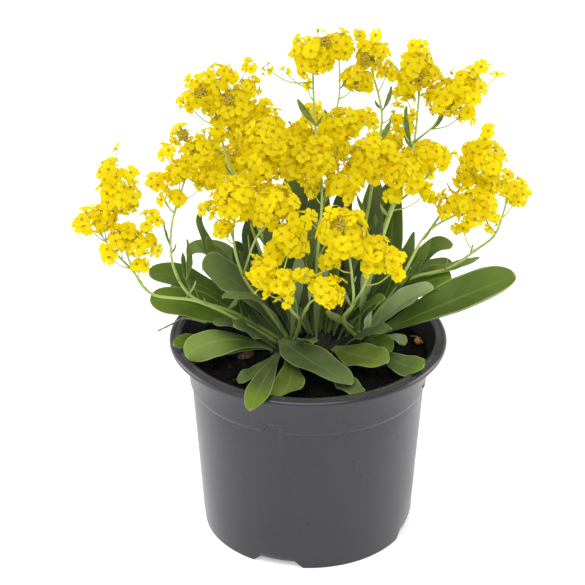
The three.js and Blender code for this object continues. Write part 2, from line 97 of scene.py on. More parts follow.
@dataclass(frozen=True)
class Wire:
    """An output socket that can be used in sums.

    Args:
        graph: The graph that the socket belongs to.
        socket: The output socket.
    """

    graph: Graph
    socket: bpy.types.NodeSocket

    @property
    def is_value(self) -> bool:
        """True for a single number."""
        return self.socket.type == "VALUE"

    def _maths(self, operation: str, first: Source, second: Source) -> Wire:
        """Adds one Math or Vector Math node.

        Args:
            operation: The node's operation.
            first: The left side.
            second: The right side.

        Returns:
            The node's result.
        """
        plain = all(not isinstance(s, Wire) or s.is_value for s in (first, second))
        kind = "ShaderNodeMath" if plain else "ShaderNodeVectorMath"
        sides = [s if plain or not isinstance(s, (int, float)) else (s, s, s) for s in (first, second)]
        return self.graph.node(kind, {"operation": operation}, {0: sides[0], 1: sides[1]})

    def __add__(self, other: Source) -> Wire:
        """Adds."""
        return self._maths("ADD", self, other)

    def __radd__(self, other: Source) -> Wire:
        """Adds, with this wire on the right."""
        return self._maths("ADD", other, self)

    def __sub__(self, other: Source) -> Wire:
        """Subtracts."""
        return self._maths("SUBTRACT", self, other)

    def __rsub__(self, other: Source) -> Wire:
        """Subtracts this wire from the other."""
        return self._maths("SUBTRACT", other, self)

    def __mul__(self, other: Source) -> Wire:
        """Multiplies."""
        return self._maths("MULTIPLY", self, other)

    def __rmul__(self, other: Source) -> Wire:
        """Multiplies, with this wire on the right."""
        return self._maths("MULTIPLY", other, self)

    def __truediv__(self, other: Source) -> Wire:
        """Divides."""
        return self._maths("DIVIDE", self, other)

    def __abs__(self) -> Wire:
        """Drops the sign."""
        return self._maths("ABSOLUTE", self, 0.0)

    def fraction(self) -> Wire:
        """Returns what is left after the last whole number."""
        return self._maths("FRACT", self, 0.0)

    def above(self, limit: float) -> Wire:
        """Returns 1 where the value is over the limit, and 0 elsewhere."""
        return self._maths("GREATER_THAN", self, limit)

    def sine(self) -> Wire:
        """Returns the sine."""
        return self._maths("SINE", self, 0.0)

    def rise(self, low: float, high: float) -> Wire:
        """Returns a smooth rise from 0 at low to 1 at high.

        Args:
            low: Where it starts.
            high: Where it ends.

        Returns:
            The risen value.
        """
        settings = {"interpolation_type": "SMOOTHSTEP", "clamp": True}
        return self.graph.node(
            "ShaderNodeMapRange", settings, {"Value": self, "From Min": low, "From Max": high},
        )

    def part(self, name: str) -> Wire:
        """Returns one part of a vector: X, Y or Z."""
        return self.graph.node("ShaderNodeSeparateXYZ", {}, {0: self}, name)


Source = Wire | float | int | Sequence[float]


class Graph:
    """The nodes of one material."""

    def __init__(self, name: str) -> None:
        """Starts an empty material of that name."""
        self.material = bpy.data.materials.new(name)
        self.material.use_nodes = True
        self.tree = self.material.node_tree
        self.tree.nodes.clear()

    def node(
        self,
        kind: str,
        settings: Mapping[str, object] | None = None,
        inputs: Mapping[str | int, Source] | None = None,
        output: str | int = 0,
    ) -> Wire:
        """Adds any node.

        Args:
            kind: Blender's name of the node type.
            settings: Its own settings, which are set first. Stops are a ramp's stops.
            inputs: The values or wires of its sockets.
            output: The socket that is returned.

        Returns:
            That output as a wire.
        """
        made = self.tree.nodes.new(kind)
        for name, value in (settings or {}).items():
            if name == "stops":
                self._set_stops(made, value)
            else:
                setattr(made, name, value)
        for name, value in (inputs or {}).items():
            socket = made.inputs[name]
            if isinstance(value, Wire):
                self.tree.links.new(value.socket, socket)
            elif isinstance(value, (int, float)):
                socket.default_value = value
            else:
                room = len(socket.default_value)
                socket.default_value = (*value, 1.0)[:room]
        return Wire(self, made.outputs[output])

    @staticmethod
    def _set_stops(ramp: bpy.types.Node, stops: Sequence[tuple[float, Colour]]) -> None:
        """Sets a ramp's stops.

        Args:
            ramp: The ramp node.
            stops: Each stop's place and colour.
        """
        elements = ramp.color_ramp.elements
        while len(elements) > 1:
            elements.remove(elements[0])
        elements[0].position = stops[0][0]
        elements[0].color = (*stops[0][1], 1)
        for place, colour in stops[1:]:
            elements.new(place).color = (*colour, 1)

    def mix(self, share: Source, first: Source, second: Source) -> Wire:
        """Blends two colours.

        Args:
            share: 0 for the first and 1 for the second.
            first: The first colour.
            second: The second colour.

        Returns:
            The blended colour.
        """
        made = self.tree.nodes.new("ShaderNodeMix")
        made.data_type = "RGBA"
        places = {"Factor": share, "A": first, "B": second}
        for name, value in places.items():
            shown = [s for s in made.inputs if s.name == name and s.enabled][0]
            if isinstance(value, Wire):
                self.tree.links.new(value.socket, shown)
            else:
                shown.default_value = value if name == "Factor" else (*value, 1)
        return Wire(self, [s for s in made.outputs if s.enabled][0])

    def place(self) -> Wire:
        """Returns the point of the surface in metres."""
        return self.node("ShaderNodeTexCoord", {}, {}, "Object")

    def flat_place(self, region: Region) -> tuple[Wire, Wire]:
        """Returns the shares along and over a region of the piece's flat map."""
        flat = self.node("ShaderNodeUVMap", {"uv_map": BAKE_MAP}, {})
        foot, height = region.value
        return flat.part("X"), (flat.part("Y") - foot) / height

    def joined(self, first: Source, second: Source) -> Wire:
        """Returns the vector of two values."""
        return self.node("ShaderNodeCombineXYZ", {}, {"X": first, "Y": second})

    def cloud(self, scale: float, detail: float = 3.0, where: Source | None = None) -> Wire:
        """Returns soft noise about 0.5.

        Args:
            scale: Lumps a metre.
            detail: How many finer layers it has.
            where: The point, if it isn't the place in metres.

        Returns:
            The noise.
        """
        inputs = {"Vector": where or self.place(), "Scale": scale, "Detail": detail}
        return self.node("ShaderNodeTexNoise", {}, inputs, "Fac")

    def cells(self, scale: float) -> Wire:
        """Returns the distance to the nearest of scattered points."""
        return self.node("ShaderNodeTexVoronoi", {}, {"Vector": self.place(), "Scale": scale}, "Distance")

    def bump(self, height: Source, depth: float, strength: float = 1.0) -> Wire:
        """Turns a height into a normal.

        Args:
            height: The height from 0 to 1.
            depth: How deep 1 is, in metres.
            strength: How strong it is.

        Returns:
            The normal.
        """
        return self.node("ShaderNodeBump", {}, {"Height": height, "Distance": depth, "Strength": strength})

    def finish(
        self, sockets: Mapping[str, Source], glow: Colour | None = None, share: float = 0.0,
    ) -> bpy.types.Material:
        """Adds the surface shader and closes the graph.

        Args:
            sockets: The values and wires of the surface shader.
            glow: The colour of light that passes through a thin surface, if any does.
            share: How much of the light passes through.

        Returns:
            The material.
        """
        surface = self.node("ShaderNodeBsdfPrincipled", {}, sockets)
        if glow:
            through = self.node("ShaderNodeBsdfTranslucent", {}, {"Color": glow})
            surface = self.node("ShaderNodeMixShader", {}, {0: share, 1: surface, 2: through})
        self.node_end(surface)
        return self.material

    def node_end(self, surface: Wire) -> None:
        """Links the surface to the material's output."""
        end = self.tree.nodes.new("ShaderNodeOutputMaterial")
        self.tree.links.new(surface.socket, end.inputs["Surface"])


# Finishes


@dataclass(frozen=True)
class PotFinish:
    """Satin grey moulded plastic, with faint haze, scuffs and dust."""

    name: str = "pot_plastic"
    body: Colour = srgb(33, 32, 39)
    haze: Colour = srgb(41, 40, 47)
    dust: Colour = srgb(96, 90, 84)
    gloss: float = 0.23
    shine: float = 0.5
    haze_scale: float = 18.0
    grain_scale: float = 900.0
    speck_scale: float = 260.0

    def material(self) -> bpy.types.Material:
        """Returns the material."""
        g = Graph(self.name)
        haze = g.cloud(self.haze_scale).rise(0.35, 0.7)
        speck = 1 - g.cells(self.speck_scale).rise(0.03, 0.07)
        rare = g.cloud(self.haze_scale * 3).rise(0.62, 0.7)
        colour = g.mix(speck * rare * 0.1, g.mix(haze * 0.5, self.body, self.haze), self.dust)
        grain = g.cloud(self.grain_scale, 4.0)
        return g.finish({
            "Base Color": colour,
            "Roughness": self.gloss + haze * 0.08 + grain * 0.06,
            "Normal": g.bump(grain, 0.00002, 0.25),
            "IOR": 1.52,
            "Specular IOR Level": self.shine,
        })


@dataclass(frozen=True)
class SoilFinish:
    """Moist peat compost, near black, with brown and green bits."""

    dark: Colour = srgb(10, 9, 9)
    brown: Colour = srgb(28, 21, 17)
    green: Colour = srgb(18, 24, 14)
    name: str = "compost"
    lift: float = 0.0

    def material(self) -> bpy.types.Material:
        """Returns the material."""
        g = Graph(self.name)
        patches = g.cloud(120.0).rise(0.55, 0.72)
        moss = g.cloud(60.0, 2.0).rise(0.6, 0.7)
        colour = g.mix(moss * 0.7, g.mix(patches * (0.6 + self.lift), self.dark, self.brown), self.green)
        grain = g.cloud(1600.0, 5.0)
        return g.finish({
            "Base Color": colour,
            "Roughness": 0.7 + grain * 0.3,
            "Normal": g.bump(grain, 0.0005, 0.9),
            "Specular IOR Level": 0.12,
        })


@dataclass(frozen=True)
class BarkFinish:
    """Rough bark with long cracks."""

    name: str
    pale: Colour
    dark: Colour

    def material(self) -> bpy.types.Material:
        """Returns the material."""
        g = Graph(self.name)
        stretch = g.place() * (1.0, 1.0, 0.35)
        cracks = g.cloud(700.0, 5.0, stretch)
        return g.finish({
            "Base Color": g.mix(cracks.rise(0.35, 0.65), self.dark, self.pale),
            "Roughness": 0.75 + cracks * 0.2,
            "Normal": g.bump(cracks, 0.0006, 0.9),
        })


@dataclass(frozen=True)
class PrillFinish:
    """The resin coat of a slow-release fertiliser bead."""

    light: Colour = srgb(205, 130, 60)
    deep: Colour = srgb(140, 72, 26)

    def material(self) -> bpy.types.Material:
        """Returns the material."""
        g = Graph("prill_coat")
        tone = g.cloud(700.0, 2.0).rise(0.3, 0.7)
        return g.finish({
            "Base Color": g.mix(tone, self.deep, self.light),
            "Roughness": 0.3 + tone * 0.15,
            "Normal": g.bump(g.cloud(2500.0), 0.0001, 0.4),
        })


@dataclass(frozen=True)
class StemFinish:
    """A fresh yellow-green stalk, paler upward, with faint streaks."""

    name: str = "stem_skin"
    pale: Colour = srgb(184, 200, 112)
    deep: Colour = srgb(118, 142, 62)

    def material(self) -> bpy.types.Material:
        """Returns the material."""
        g = Graph(self.name)
        along, around = g.flat_place(Region.STALK)
        streak = g.cloud(1.0, 3.0, g.joined(along * 5.0, around * 16.0))
        return g.finish({
            "Base Color": g.mix(along.rise(0.0, 0.55) * 0.75 + streak * 0.3, self.deep, self.pale),
            "Roughness": 0.5 + streak * 0.2,
            "Normal": g.bump(streak, 0.0001, 0.5),
        }, srgb(190, 205, 90), 0.12)


@dataclass(frozen=True)
class LeafTone:
    """The colours of one kind of leaf.

    Args:
        body: The middle of the blade.
        deep: Its darker patches.
        tip: The outer end.
        rib: The midrib, the stalk and the margin.
        under: The felted underside.
        tip_from: How far along the blade the outer end's colour starts.
        glow: The light that passes through.
    """

    body: Colour
    deep: Colour
    tip: Colour
    rib: Colour
    under: Colour
    tip_from: float = 0.62
    glow: Colour = srgb(130, 170, 40)


class Tone(Enum):
    """The kinds of leaf on the plant."""

    GREY = LeafTone(
        srgb(98, 114, 64), srgb(80, 96, 54), srgb(102, 120, 64), srgb(146, 164, 108), srgb(138, 156, 112),
    )
    MID = LeafTone(
        srgb(90, 112, 34), srgb(74, 96, 28), srgb(96, 120, 40), srgb(152, 174, 96), srgb(142, 162, 106),
    )
    FRESH = LeafTone(
        srgb(90, 114, 26), srgb(74, 98, 22), srgb(104, 130, 34), srgb(150, 172, 84), srgb(136, 158, 90),
    )
    BRIGHT = LeafTone(
        srgb(88, 108, 42), srgb(74, 94, 34), srgb(134, 156, 74), srgb(186, 202, 136), srgb(156, 176, 106),
        tip_from=0.3,
    )
    # This lighter copy of MID is painted light, lifting the front leaves that lie in shade.
    FRONT = LeafTone(
        srgb(112, 128, 48), srgb(94, 112, 42), srgb(120, 138, 54), srgb(166, 182, 104),
        srgb(150, 164, 104),
    )
    TONGUE = LeafTone(
        srgb(80, 92, 48), srgb(66, 78, 40), srgb(104, 130, 30), srgb(150, 168, 100), srgb(134, 150, 98),
        tip_from=0.5,
    )
    LIT_TIP = LeafTone(
        srgb(106, 126, 68), srgb(88, 108, 54), srgb(124, 154, 32), srgb(166, 184, 112),
        srgb(146, 164, 110),
    )
    PALE = LeafTone(
        srgb(146, 166, 114), srgb(128, 148, 96), srgb(154, 172, 122), srgb(190, 204, 160),
        srgb(162, 180, 130),
    )
    STEM = LeafTone(
        srgb(126, 148, 66), srgb(104, 128, 54), srgb(130, 152, 68), srgb(168, 184, 108),
        srgb(146, 164, 98),
    )
    # SHADE's darker colours are painted shade, for the inner leaves deep in the shadow of the rosettes.
    SHADE = LeafTone(
        srgb(66, 88, 48), srgb(52, 74, 38), srgb(72, 94, 50), srgb(112, 134, 84), srgb(104, 126, 84),
    )


@dataclass(frozen=True)
class LeafFinish:
    """A soft felted leaf: pale midrib and margin, faint side veins, pale underside."""

    tone: Tone
    vein_pairs: float = 8.0
    length: float = 50.0
    girth: float = 32.0
    patch_scale: float = 0.06
    felt_scale: float = 2.6
    share_through: float = 0.2

    def material(self) -> bpy.types.Material:
        """Returns the material."""
        t = self.tone.value
        g = Graph(f"leaf_{self.tone.name.lower()}")
        along, sheet = g.flat_place(Region.BLADE)
        across = abs((sheet * 2).fraction() * 2 - 1)
        under = sheet.above(0.5)
        where = g.joined(along * self.length, sheet * self.girth)
        patches = g.cloud(self.patch_scale, 3.0, where).rise(0.35, 0.68)
        felt = g.cloud(self.felt_scale, 4.0, where)
        veins = ((along * self.vein_pairs - across * 1.6) * math.tau).sine().rise(0.72, 1.0)
        veins = veins * across.rise(0.05, 0.2) * (1 - across.rise(0.6, 0.95))
        rib = (1 - across.rise(0.02, 0.075)) * (1 - along * 0.8)
        margin = across.rise(0.86, 0.97) + along.rise(0.98, 0.995)
        stalk = 1 - along.rise(0.05, 0.3)
        blade = g.mix(
            along.rise(t.tip_from, min(0.98, t.tip_from + 0.36)), g.mix(patches, t.deep, t.body), t.tip,
        )
        blade = g.mix(veins * 0.06, blade, t.rib)
        blade = g.mix(under * 0.75, blade, t.under)
        blade = g.mix(stalk * 0.4, blade, t.rib)
        blade = g.mix(rib * 0.55, blade, t.rib)
        blade = g.mix(margin.rise(0.0, 1.0) * 0.75, blade, t.rib)
        blade = g.mix(felt.rise(0.45, 0.8) * 0.12, blade, t.under)
        height = felt * 0.4 + rib * 0.8 - veins * 0.3
        return g.finish({
            "Base Color": blade,
            "Roughness": 0.55 + felt * 0.18,
            "Normal": g.bump(height, 0.0002, 0.5),
            "Specular IOR Level": 0.35,
        }, t.glow, self.share_through)


@dataclass(frozen=True)
class PetalFinish:
    """Bright yellow petals: golden at the middle, fine veins, lighter edges."""

    gold: Colour = srgb(222, 192, 0)
    body: Colour = srgb(236, 222, 0)
    light: Colour = srgb(242, 230, 8)
    deep: Colour = srgb(228, 208, 0)

    def material(self) -> bpy.types.Material:
        """Returns the material."""
        g = Graph("petal_yellow")
        out, over = g.flat_place(Region.BLADE)
        strip = over * Flower.STRIPS
        veins = (strip.fraction() * math.tau * 3).sine().rise(0.2, 1.0) * out.rise(0.2, 0.5)
        tint = (over * 37.0).sine() * 0.5 + 0.5
        body = g.mix(0.5, g.mix(tint, self.deep, self.light), self.body)
        colour = g.mix(out.rise(0.06, 0.3), self.gold, body)
        colour = g.mix(veins * 0.15, colour, self.deep)
        colour = g.mix(out.rise(0.85, 1.0) * 0.4, colour, self.light)
        return g.finish({
            "Base Color": colour,
            "Roughness": 0.62 + veins * 0.1,
            "Normal": g.bump(veins, 0.00005, 0.3),
            "Specular IOR Level": 0.2,
        }, srgb(248, 226, 0), 0.5)


@dataclass(frozen=True)
class BudFinish:
    """Closed olive-yellow buds."""

    olive: Colour = srgb(124, 104, 8)
    yellow: Colour = srgb(196, 172, 10)

    def material(self) -> bpy.types.Material:
        """Returns the material."""
        g = Graph("bud_olive")
        along, over = g.flat_place(Region.BUD)
        tone = g.cloud(1.0, 2.0, g.joined(along * 4.0, over * 4.0))
        return g.finish({
            "Base Color": g.mix(tone.rise(0.35, 0.65), self.olive, self.yellow),
            "Roughness": 0.6 + tone * 0.1,
            "Normal": g.bump(tone, 0.0001, 0.4),
        })


@dataclass(frozen=True)
class FloorFinish:
    """The pale studio floor."""

    white: Colour = (0.86, 0.86, 0.86)
    glow: float = 0.35

    def material(self) -> bpy.types.Material:
        """Returns the material."""
        g = Graph("floor_white")
        return g.finish({
            "Base Color": self.white,
            "Roughness": 0.9,
            "Emission Color": (1.0, 1.0, 1.0),
            "Emission Strength": self.glow,
        })


# Mesh building


class Coat(IntEnum):
    """The material slots of a piece with two finishes."""

    FIRST = 0
    SECOND = 1


@dataclass
class Skin:
    """The points and faces of one piece, gathered patch by patch."""

    points: list[np.ndarray] = field(default_factory=list)
    faces: list[np.ndarray] = field(default_factory=list)
    flats: list[np.ndarray] = field(default_factory=list)
    slots: list[int] = field(default_factory=list)
    count: int = 0

    def add(
        self, points: np.ndarray, faces: np.ndarray, flat: np.ndarray | None = None, slot: int = 0,
    ) -> None:
        """Adds one patch.

        Args:
            points: Its points.
            faces: Its faces, all with as many corners.
            flat: Its flat coordinates, one for each point.
            slot: The number of its finish.
        """
        self.add_faces(faces + self.count, slot)
        self.points.append(points)
        self.flats.append(points[:, :2] * 0 if flat is None else flat)
        self.count += len(points)

    def add_faces(self, faces: np.ndarray, slot: int) -> None:
        """Adds faces between points of the skin, counted from its first, in the finish of that slot."""
        self.faces.append(faces)
        self.slots.append(slot)

    def piece(self, name: str, finishes: Sequence[bpy.types.Material], flat: bool = True) -> bpy.types.Object:
        """Makes the mesh object.

        Args:
            name: The piece's name.
            finishes: Its materials.
            flat: Whether it carries its flat coordinates.

        Returns:
            The object.
        """
        mesh = bpy.data.meshes.new(name)
        points = np.vstack(self.points)
        loops = np.concatenate([f.ravel() for f in self.faces])
        totals = np.concatenate([np.full(len(f), f.shape[1]) for f in self.faces])
        slots = np.concatenate([np.full(len(f), s) for f, s in zip(self.faces, self.slots)])
        mesh.vertices.add(len(points))
        mesh.vertices.foreach_set("co", points.astype(np.float32).ravel())
        mesh.loops.add(len(loops))
        mesh.loops.foreach_set("vertex_index", loops.astype(np.int32))
        mesh.polygons.add(len(totals))
        starts = np.concatenate([[0], np.cumsum(totals)[:-1]])
        mesh.polygons.foreach_set("loop_start", starts.astype(np.int32))
        mesh.polygons.foreach_set("material_index", slots.astype(np.int32))
        mesh.polygons.foreach_set("use_smooth", np.ones(len(totals), dtype=bool))
        mesh.update(calc_edges=True)
        if flat:
            layer = mesh.uv_layers.new(name=BAKE_MAP)
            layer.data.foreach_set("uv", np.vstack(self.flats)[loops].astype(np.float32).ravel())
        mesh.validate()
        for finish in finishes:
            mesh.materials.append(finish)
        made = bpy.data.objects.new(name, mesh)
        bpy.context.scene.collection.objects.link(made)
        return made


def grid_faces(rows: int, columns: int, closed: bool = False) -> np.ndarray:
    """Returns the faces between rows of points.

    Args:
        rows: How many rows there are.
        columns: How many points a row has.
        closed: Whether each row closes on itself.

    Returns:
        The faces, four corners each.
    """
    reach = columns if closed else columns - 1
    row = np.arange(rows - 1)[:, None] * columns
    near = np.arange(reach)[None, :]
    far = (near + 1) % columns
    corners = (row + near, row + far, row + columns + far, row + columns + near)
    return np.stack(corners, axis=-1).reshape(-1, 4)


def smooth_line(knots: Sequence[Point], steps: int) -> np.ndarray:
    """Returns a smooth curve through points, spaced by the root of their distance.

    Args:
        knots: The points it passes through, in millimetres.
        steps: How many pieces each span has.

    Returns:
        The curve's points in metres.
    """
    spots = [np.array(k, dtype=float) * MM for k in knots]
    spots = [2 * spots[0] - spots[1], *spots, 2 * spots[-1] - spots[-2]]
    times = np.cumsum([0.0, *[math.sqrt(np.linalg.norm(b - a)) for a, b in zip(spots, spots[1:])]])
    line = []
    for i in range(1, len(spots) - 2):
        p0, p1, p2, p3 = spots[i - 1 : i + 3]
        t0, t1, t2, t3 = times[i - 1 : i + 3]
        for t in np.linspace(t1, t2, steps, endpoint=False):
            a1 = (t1 - t) / (t1 - t0) * p0 + (t - t0) / (t1 - t0) * p1
            a2 = (t2 - t) / (t2 - t1) * p1 + (t - t1) / (t2 - t1) * p2
            a3 = (t3 - t) / (t3 - t2) * p2 + (t - t2) / (t3 - t2) * p3
            b1 = (t2 - t) / (t2 - t0) * a1 + (t - t0) / (t2 - t0) * a2
            b2 = (t3 - t) / (t3 - t1) * a2 + (t - t1) / (t3 - t1) * a3
            line.append((t2 - t) / (t2 - t1) * b1 + (t - t1) / (t2 - t1) * b2)
    line.append(spots[-2])
    return np.array(line)


def tube(line: np.ndarray, radii: np.ndarray, sides: int) -> tuple[np.ndarray, np.ndarray, np.ndarray]:
    """Returns a round tube along a line, drawn in to a point at both ends.

    Args:
        line: Its middle line.
        radii: Its radius at each point of the line.
        sides: How many sides it has.

    Returns:
        Its points, faces and flat coordinates.
    """
    tangents = np.gradient(line, axis=0)
    tangents /= np.linalg.norm(tangents, axis=1)[:, None]
    start = np.array([1.0, 0, 0]) if abs(tangents[0][0]) < 0.8 else np.array([0, 1.0, 0])
    normal = np.cross(tangents[0], start)
    rings = []
    turn = np.linspace(0, math.tau, sides, endpoint=False)
    for spot, tangent, radius in zip(line, tangents, radii):
        normal = normal - tangent * np.dot(normal, tangent)
        normal /= np.linalg.norm(normal)
        other = np.cross(tangent, normal)
        rings.append(spot + radius * (np.cos(turn)[:, None] * normal + np.sin(turn)[:, None] * other))
    rings = [np.repeat(line[:1], sides, 0), *rings, np.repeat(line[-1:], sides, 0)]
    rows = len(rings)
    along, around = np.meshgrid(np.linspace(0, 1, rows), np.linspace(0, 1, sides), indexing="ij")
    return np.vstack(rings), grid_faces(rows, sides, True), Region.STALK.spread(along, around)


@dataclass(frozen=True)
class Ball:
    """The points and faces of a ball with a radius of 1."""

    points: np.ndarray
    faces: np.ndarray

    @classmethod
    def of(cls, detail: int) -> Ball:
        """Returns a ball: 1 is coarse and 2 is finer."""
        work = bmesh.new()
        bmesh.ops.create_icosphere(work, subdivisions=detail, radius=1.0)
        points = np.array([v.co for v in work.verts])
        faces = np.array([[v.index for v in f.verts] for f in work.faces])
        work.free()
        return cls(points, faces)

    def flat(self, region: Region) -> np.ndarray:
        """Returns flat coordinates inside a region, sheared so that no face lies on edge."""
        x, y, z = self.points.T
        return region.spread((1.3 + x + 0.3 * z) / 2.6, (1.3 + y + 0.3 * z) / 2.6)


def mount(piece: bpy.types.Object, slot: str, *nodes: str) -> bpy.types.Object:
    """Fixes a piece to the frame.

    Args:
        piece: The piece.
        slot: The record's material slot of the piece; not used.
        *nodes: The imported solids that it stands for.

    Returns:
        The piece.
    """
    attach(piece, BODY)
    if nodes:
        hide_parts(*nodes)
    LOG.info("%s: %d faces", piece.name, len(piece.data.polygons))
    return piece


def soften(piece: bpy.types.Object, limit: float) -> None:
    """Marks the edges that turn by more than the limit, in degrees, as sharp."""
    work = bmesh.new()
    work.from_mesh(piece.data)
    bmesh.ops.remove_doubles(work, verts=work.verts, dist=1e-6)
    bmesh.ops.recalc_face_normals(work, faces=work.faces)
    for edge in work.edges:
        edge.smooth = len(edge.link_faces) == 2 and edge.calc_face_angle(0.0) < math.radians(limit)
    work.to_mesh(piece.data)
    work.free()


# The pot


@dataclass
class Pot:
    """A round nursery pot with a rolled rim, a shoulder step and a gapped foot ring.

    Sizes are in millimetres and angles in degrees.
    """

    rim_radius: float = 65.0
    rim_top: float = 98.8
    rim_drop: float = 3.0
    rim_inner: float = 59.4
    groove_radius: float = 62.2
    groove_depth: float = 0.35
    bead: float = 2.0
    edge: float = 0.8
    wall: float = 1.3
    lip_slope: float = 2.0
    band_top: float = 57.6
    band_foot: float = 56.0
    shoulder: float = 75.5
    step: float = 1.15
    lip_height: float = 2.6
    body_foot: float = 50.3
    foot_height: float = 6.3
    foot_radius: float = 49.6
    foot_width: float = 3.6
    floor: float = 4.6
    quarters: int = 4
    quarter_offset: float = -107.0
    gap_angle: float = 24.0
    gap_height: float = 3.4
    gap_slope: float = 2.3
    notch_foot: float = 10.0
    notch_top: float = 4.6
    notch_height: float = 4.3
    drain_holes: int = 8
    drain_radius: float = 4.0
    drain_circle: float = 34.0
    drain_sides: int = 32
    drill_reach: float = 3.0
    sharp_from: float = 32.0
    columns: int = 288
    inner_rows: int = 7

    def _angles(self) -> list[float]:
        """Returns the columns' angles in degrees, with one at each corner of the gaps and notches."""
        fine = 0.12
        notch = [math.degrees(w / 2 / self.band_foot) for w in (self.notch_foot, self.notch_top)]
        gap = [self.gap_angle / 2 + s for s in (self.gap_slope, -self.gap_slope)]
        edges = [side * half for half in (*notch, *gap) for side in (-1, 1)]
        corners = [edge + shift for edge in edges for shift in (-fine, 0, fine)]
        quarter = 360 / self.quarters
        special = [
            (self.quarter_offset + q * quarter + a) % 360 for q in range(self.quarters) for a in corners
        ]
        even = [i * 360 / self.columns for i in range(self.columns)]
        kept = [a for a in even if min(abs(a - s) for s in special) > 3 * fine]
        return sorted(kept + special)

    def _rise(self, angle: float, wide: float, narrow: float) -> float:
        """Returns 0 outside a trapezoid round each quarter line and 1 over its middle.

        Args:
            angle: The angle in degrees.
            wide: Half of its wide side, in degrees.
            narrow: Half of its narrow side, in degrees.

        Returns:
            The share of its full height.
        """
        quarter = 360 / self.quarters
        off = abs((angle - self.quarter_offset + quarter / 2) % quarter - quarter / 2)
        return float(np.clip((wide - off) / (wide - narrow), 0, 1))

    def _profile(self, angle: float) -> list[tuple[float, float]]:
        """Returns the wall's outline at an angle, from the middle of the underside to that of the floor."""
        half = [math.degrees(w / 2 / self.band_foot) for w in (self.notch_foot, self.notch_top)]
        shoulder = self.shoulder + self.notch_height * self._rise(angle, *half)
        gap = self.gap_height * self._rise(
            angle, self.gap_angle / 2 + self.gap_slope, self.gap_angle / 2 - self.gap_slope,
        )
        slope = (self.band_foot - self.step - self.body_foot) / (self.shoulder - self.foot_height)
        body_top = self.body_foot + slope * (shoulder - self.foot_height)
        band_slope = (self.band_top - self.band_foot) / (
            self.rim_top - self.rim_drop - self.lip_slope - self.shoulder
        )
        band_at_step = self.band_foot + band_slope * (shoulder - self.shoulder)
        lip_foot = self.rim_top - self.rim_drop
        inner_foot = self.foot_radius - self.foot_width
        bevel, small = 0.35, 0.12
        mids = [(self.body_foot + slope * (z - self.foot_height), z) for z in (20.0, 35.0, 50.0, 65.0)]
        quarter = [math.radians(turn) for turn in (0, 15, 30, 45, 60, 75, 90)]
        lip = [
            (band_at_step - self.step * (1 - math.sin(t)), shoulder + self.lip_height * (1 - math.cos(t)))
            for t in quarter
        ]
        bead = [
            (
                self.rim_radius - self.bead + self.bead * math.cos(t),
                self.rim_top - self.bead + self.bead * math.sin(t),
            )
            for t in quarter
        ]
        return [
            (0, self.floor - self.wall),
            (inner_foot * 0.5, self.floor - self.wall),
            (inner_foot, self.floor - self.wall),
            (inner_foot, gap + bevel),
            (inner_foot + bevel, gap),
            (self.foot_radius - bevel, gap),
            (self.foot_radius, gap + bevel),
            (self.body_foot, self.foot_height),
            *mids,
            (body_top, shoulder - small),
            *lip,
            (self.band_top, lip_foot - self.lip_slope),
            (self.band_top + 0.6, lip_foot - 0.6),
            (self.band_top + self.lip_slope, lip_foot),
            (self.rim_radius - self.edge, lip_foot),
            (self.rim_radius - 0.25, lip_foot + 0.15),
            *bead,
            (self.groove_radius + 0.9, self.rim_top),
            (self.groove_radius + 0.3, self.rim_top - self.groove_depth),
            (self.groove_radius - 0.3, self.rim_top - self.groove_depth),
            (self.groove_radius - 0.9, self.rim_top - 0.05),
            (self.rim_inner + 1.0, self.rim_top - 0.05),
            (self.rim_inner + 0.35, self.rim_top - 0.25),
            (self.rim_inner, self.rim_top - 0.8),
            (self.band_top - self.wall, self.rim_top - 5.0),
            (self.band_foot - self.wall, self.shoulder),
            (self.body_foot - self.wall, self.foot_height + self.edge),
            (self.body_foot - self.wall - self.edge, self.floor),
            (self.drain_circle, self.floor),
            (0, self.floor),
        ]

    def build(self) -> bpy.types.Object:
        """Builds the moulding and drills its drain holes.

        Returns:
            The pot's object.
        """
        skin = Skin()
        rings = []
        for angle in self._angles():
            turn = math.radians(angle)
            rings.append([(r * math.cos(turn), r * math.sin(turn), z) for r, z in self._profile(angle)])
        points = np.array(rings).transpose(1, 0, 2)
        rows, columns = points.shape[:2]
        outside = rows - self.inner_rows
        faces = grid_faces(rows, columns, True)
        skin.add(points.reshape(-1, 3) * MM, faces[: outside * columns])
        skin.add_faces(faces[outside * columns :], Coat.SECOND)
        # The inside's plastic and dust colours are darker copies of the outside's: painted shade for the
        # shadow within the pot.
        shaded_inside = PotFinish("pot_inside_painted_shade", srgb(15, 14, 15), srgb(20, 19, 18), srgb(60, 52, 44), 0.6, 0.15)
        made = skin.piece("pot_moulding", [PotFinish().material(), shaded_inside.material()], False)
        soften(made, self.sharp_from)
        self._drill(made)
        return made

    def _drill(self, made: bpy.types.Object) -> None:
        """Cuts the round drain holes through the floor."""
        cutter = bpy.data.meshes.new("drills")
        work = bmesh.new()
        radius = self.drain_radius * MM
        for i in range(self.drain_holes):
            turn = (i + 0.5) * math.tau / self.drain_holes
            x, y = self.drain_circle * math.cos(turn), self.drain_circle * math.sin(turn)
            at = Vector((x, y, self.floor)) * MM
            bmesh.ops.create_cone(
                work, cap_ends=True, segments=self.drain_sides, radius1=radius, radius2=radius,
                depth=self.floor * self.drill_reach * MM, matrix=Matrix.Translation(at),
            )
        work.to_mesh(cutter)
        work.free()
        drills = bpy.data.objects.new("drills", cutter)
        bpy.context.scene.collection.objects.link(drills)
        cut = made.modifiers.new("drain_holes", "BOOLEAN")
        cut.operation = "DIFFERENCE"
        cut.object = drills
        cut.solver = "EXACT"
        bpy.context.view_layer.update()
        shaped = bpy.data.meshes.new_from_object(made.evaluated_get(bpy.context.evaluated_depsgraph_get()))
        made.modifiers.clear()
        made.data = shaped
        bpy.data.objects.remove(drills)

    def dress(self) -> None:
        """Builds the pot and fixes it to the frame."""
        mount(self.build(), "pot_plastic", "pot")


# The soil and what lies on it


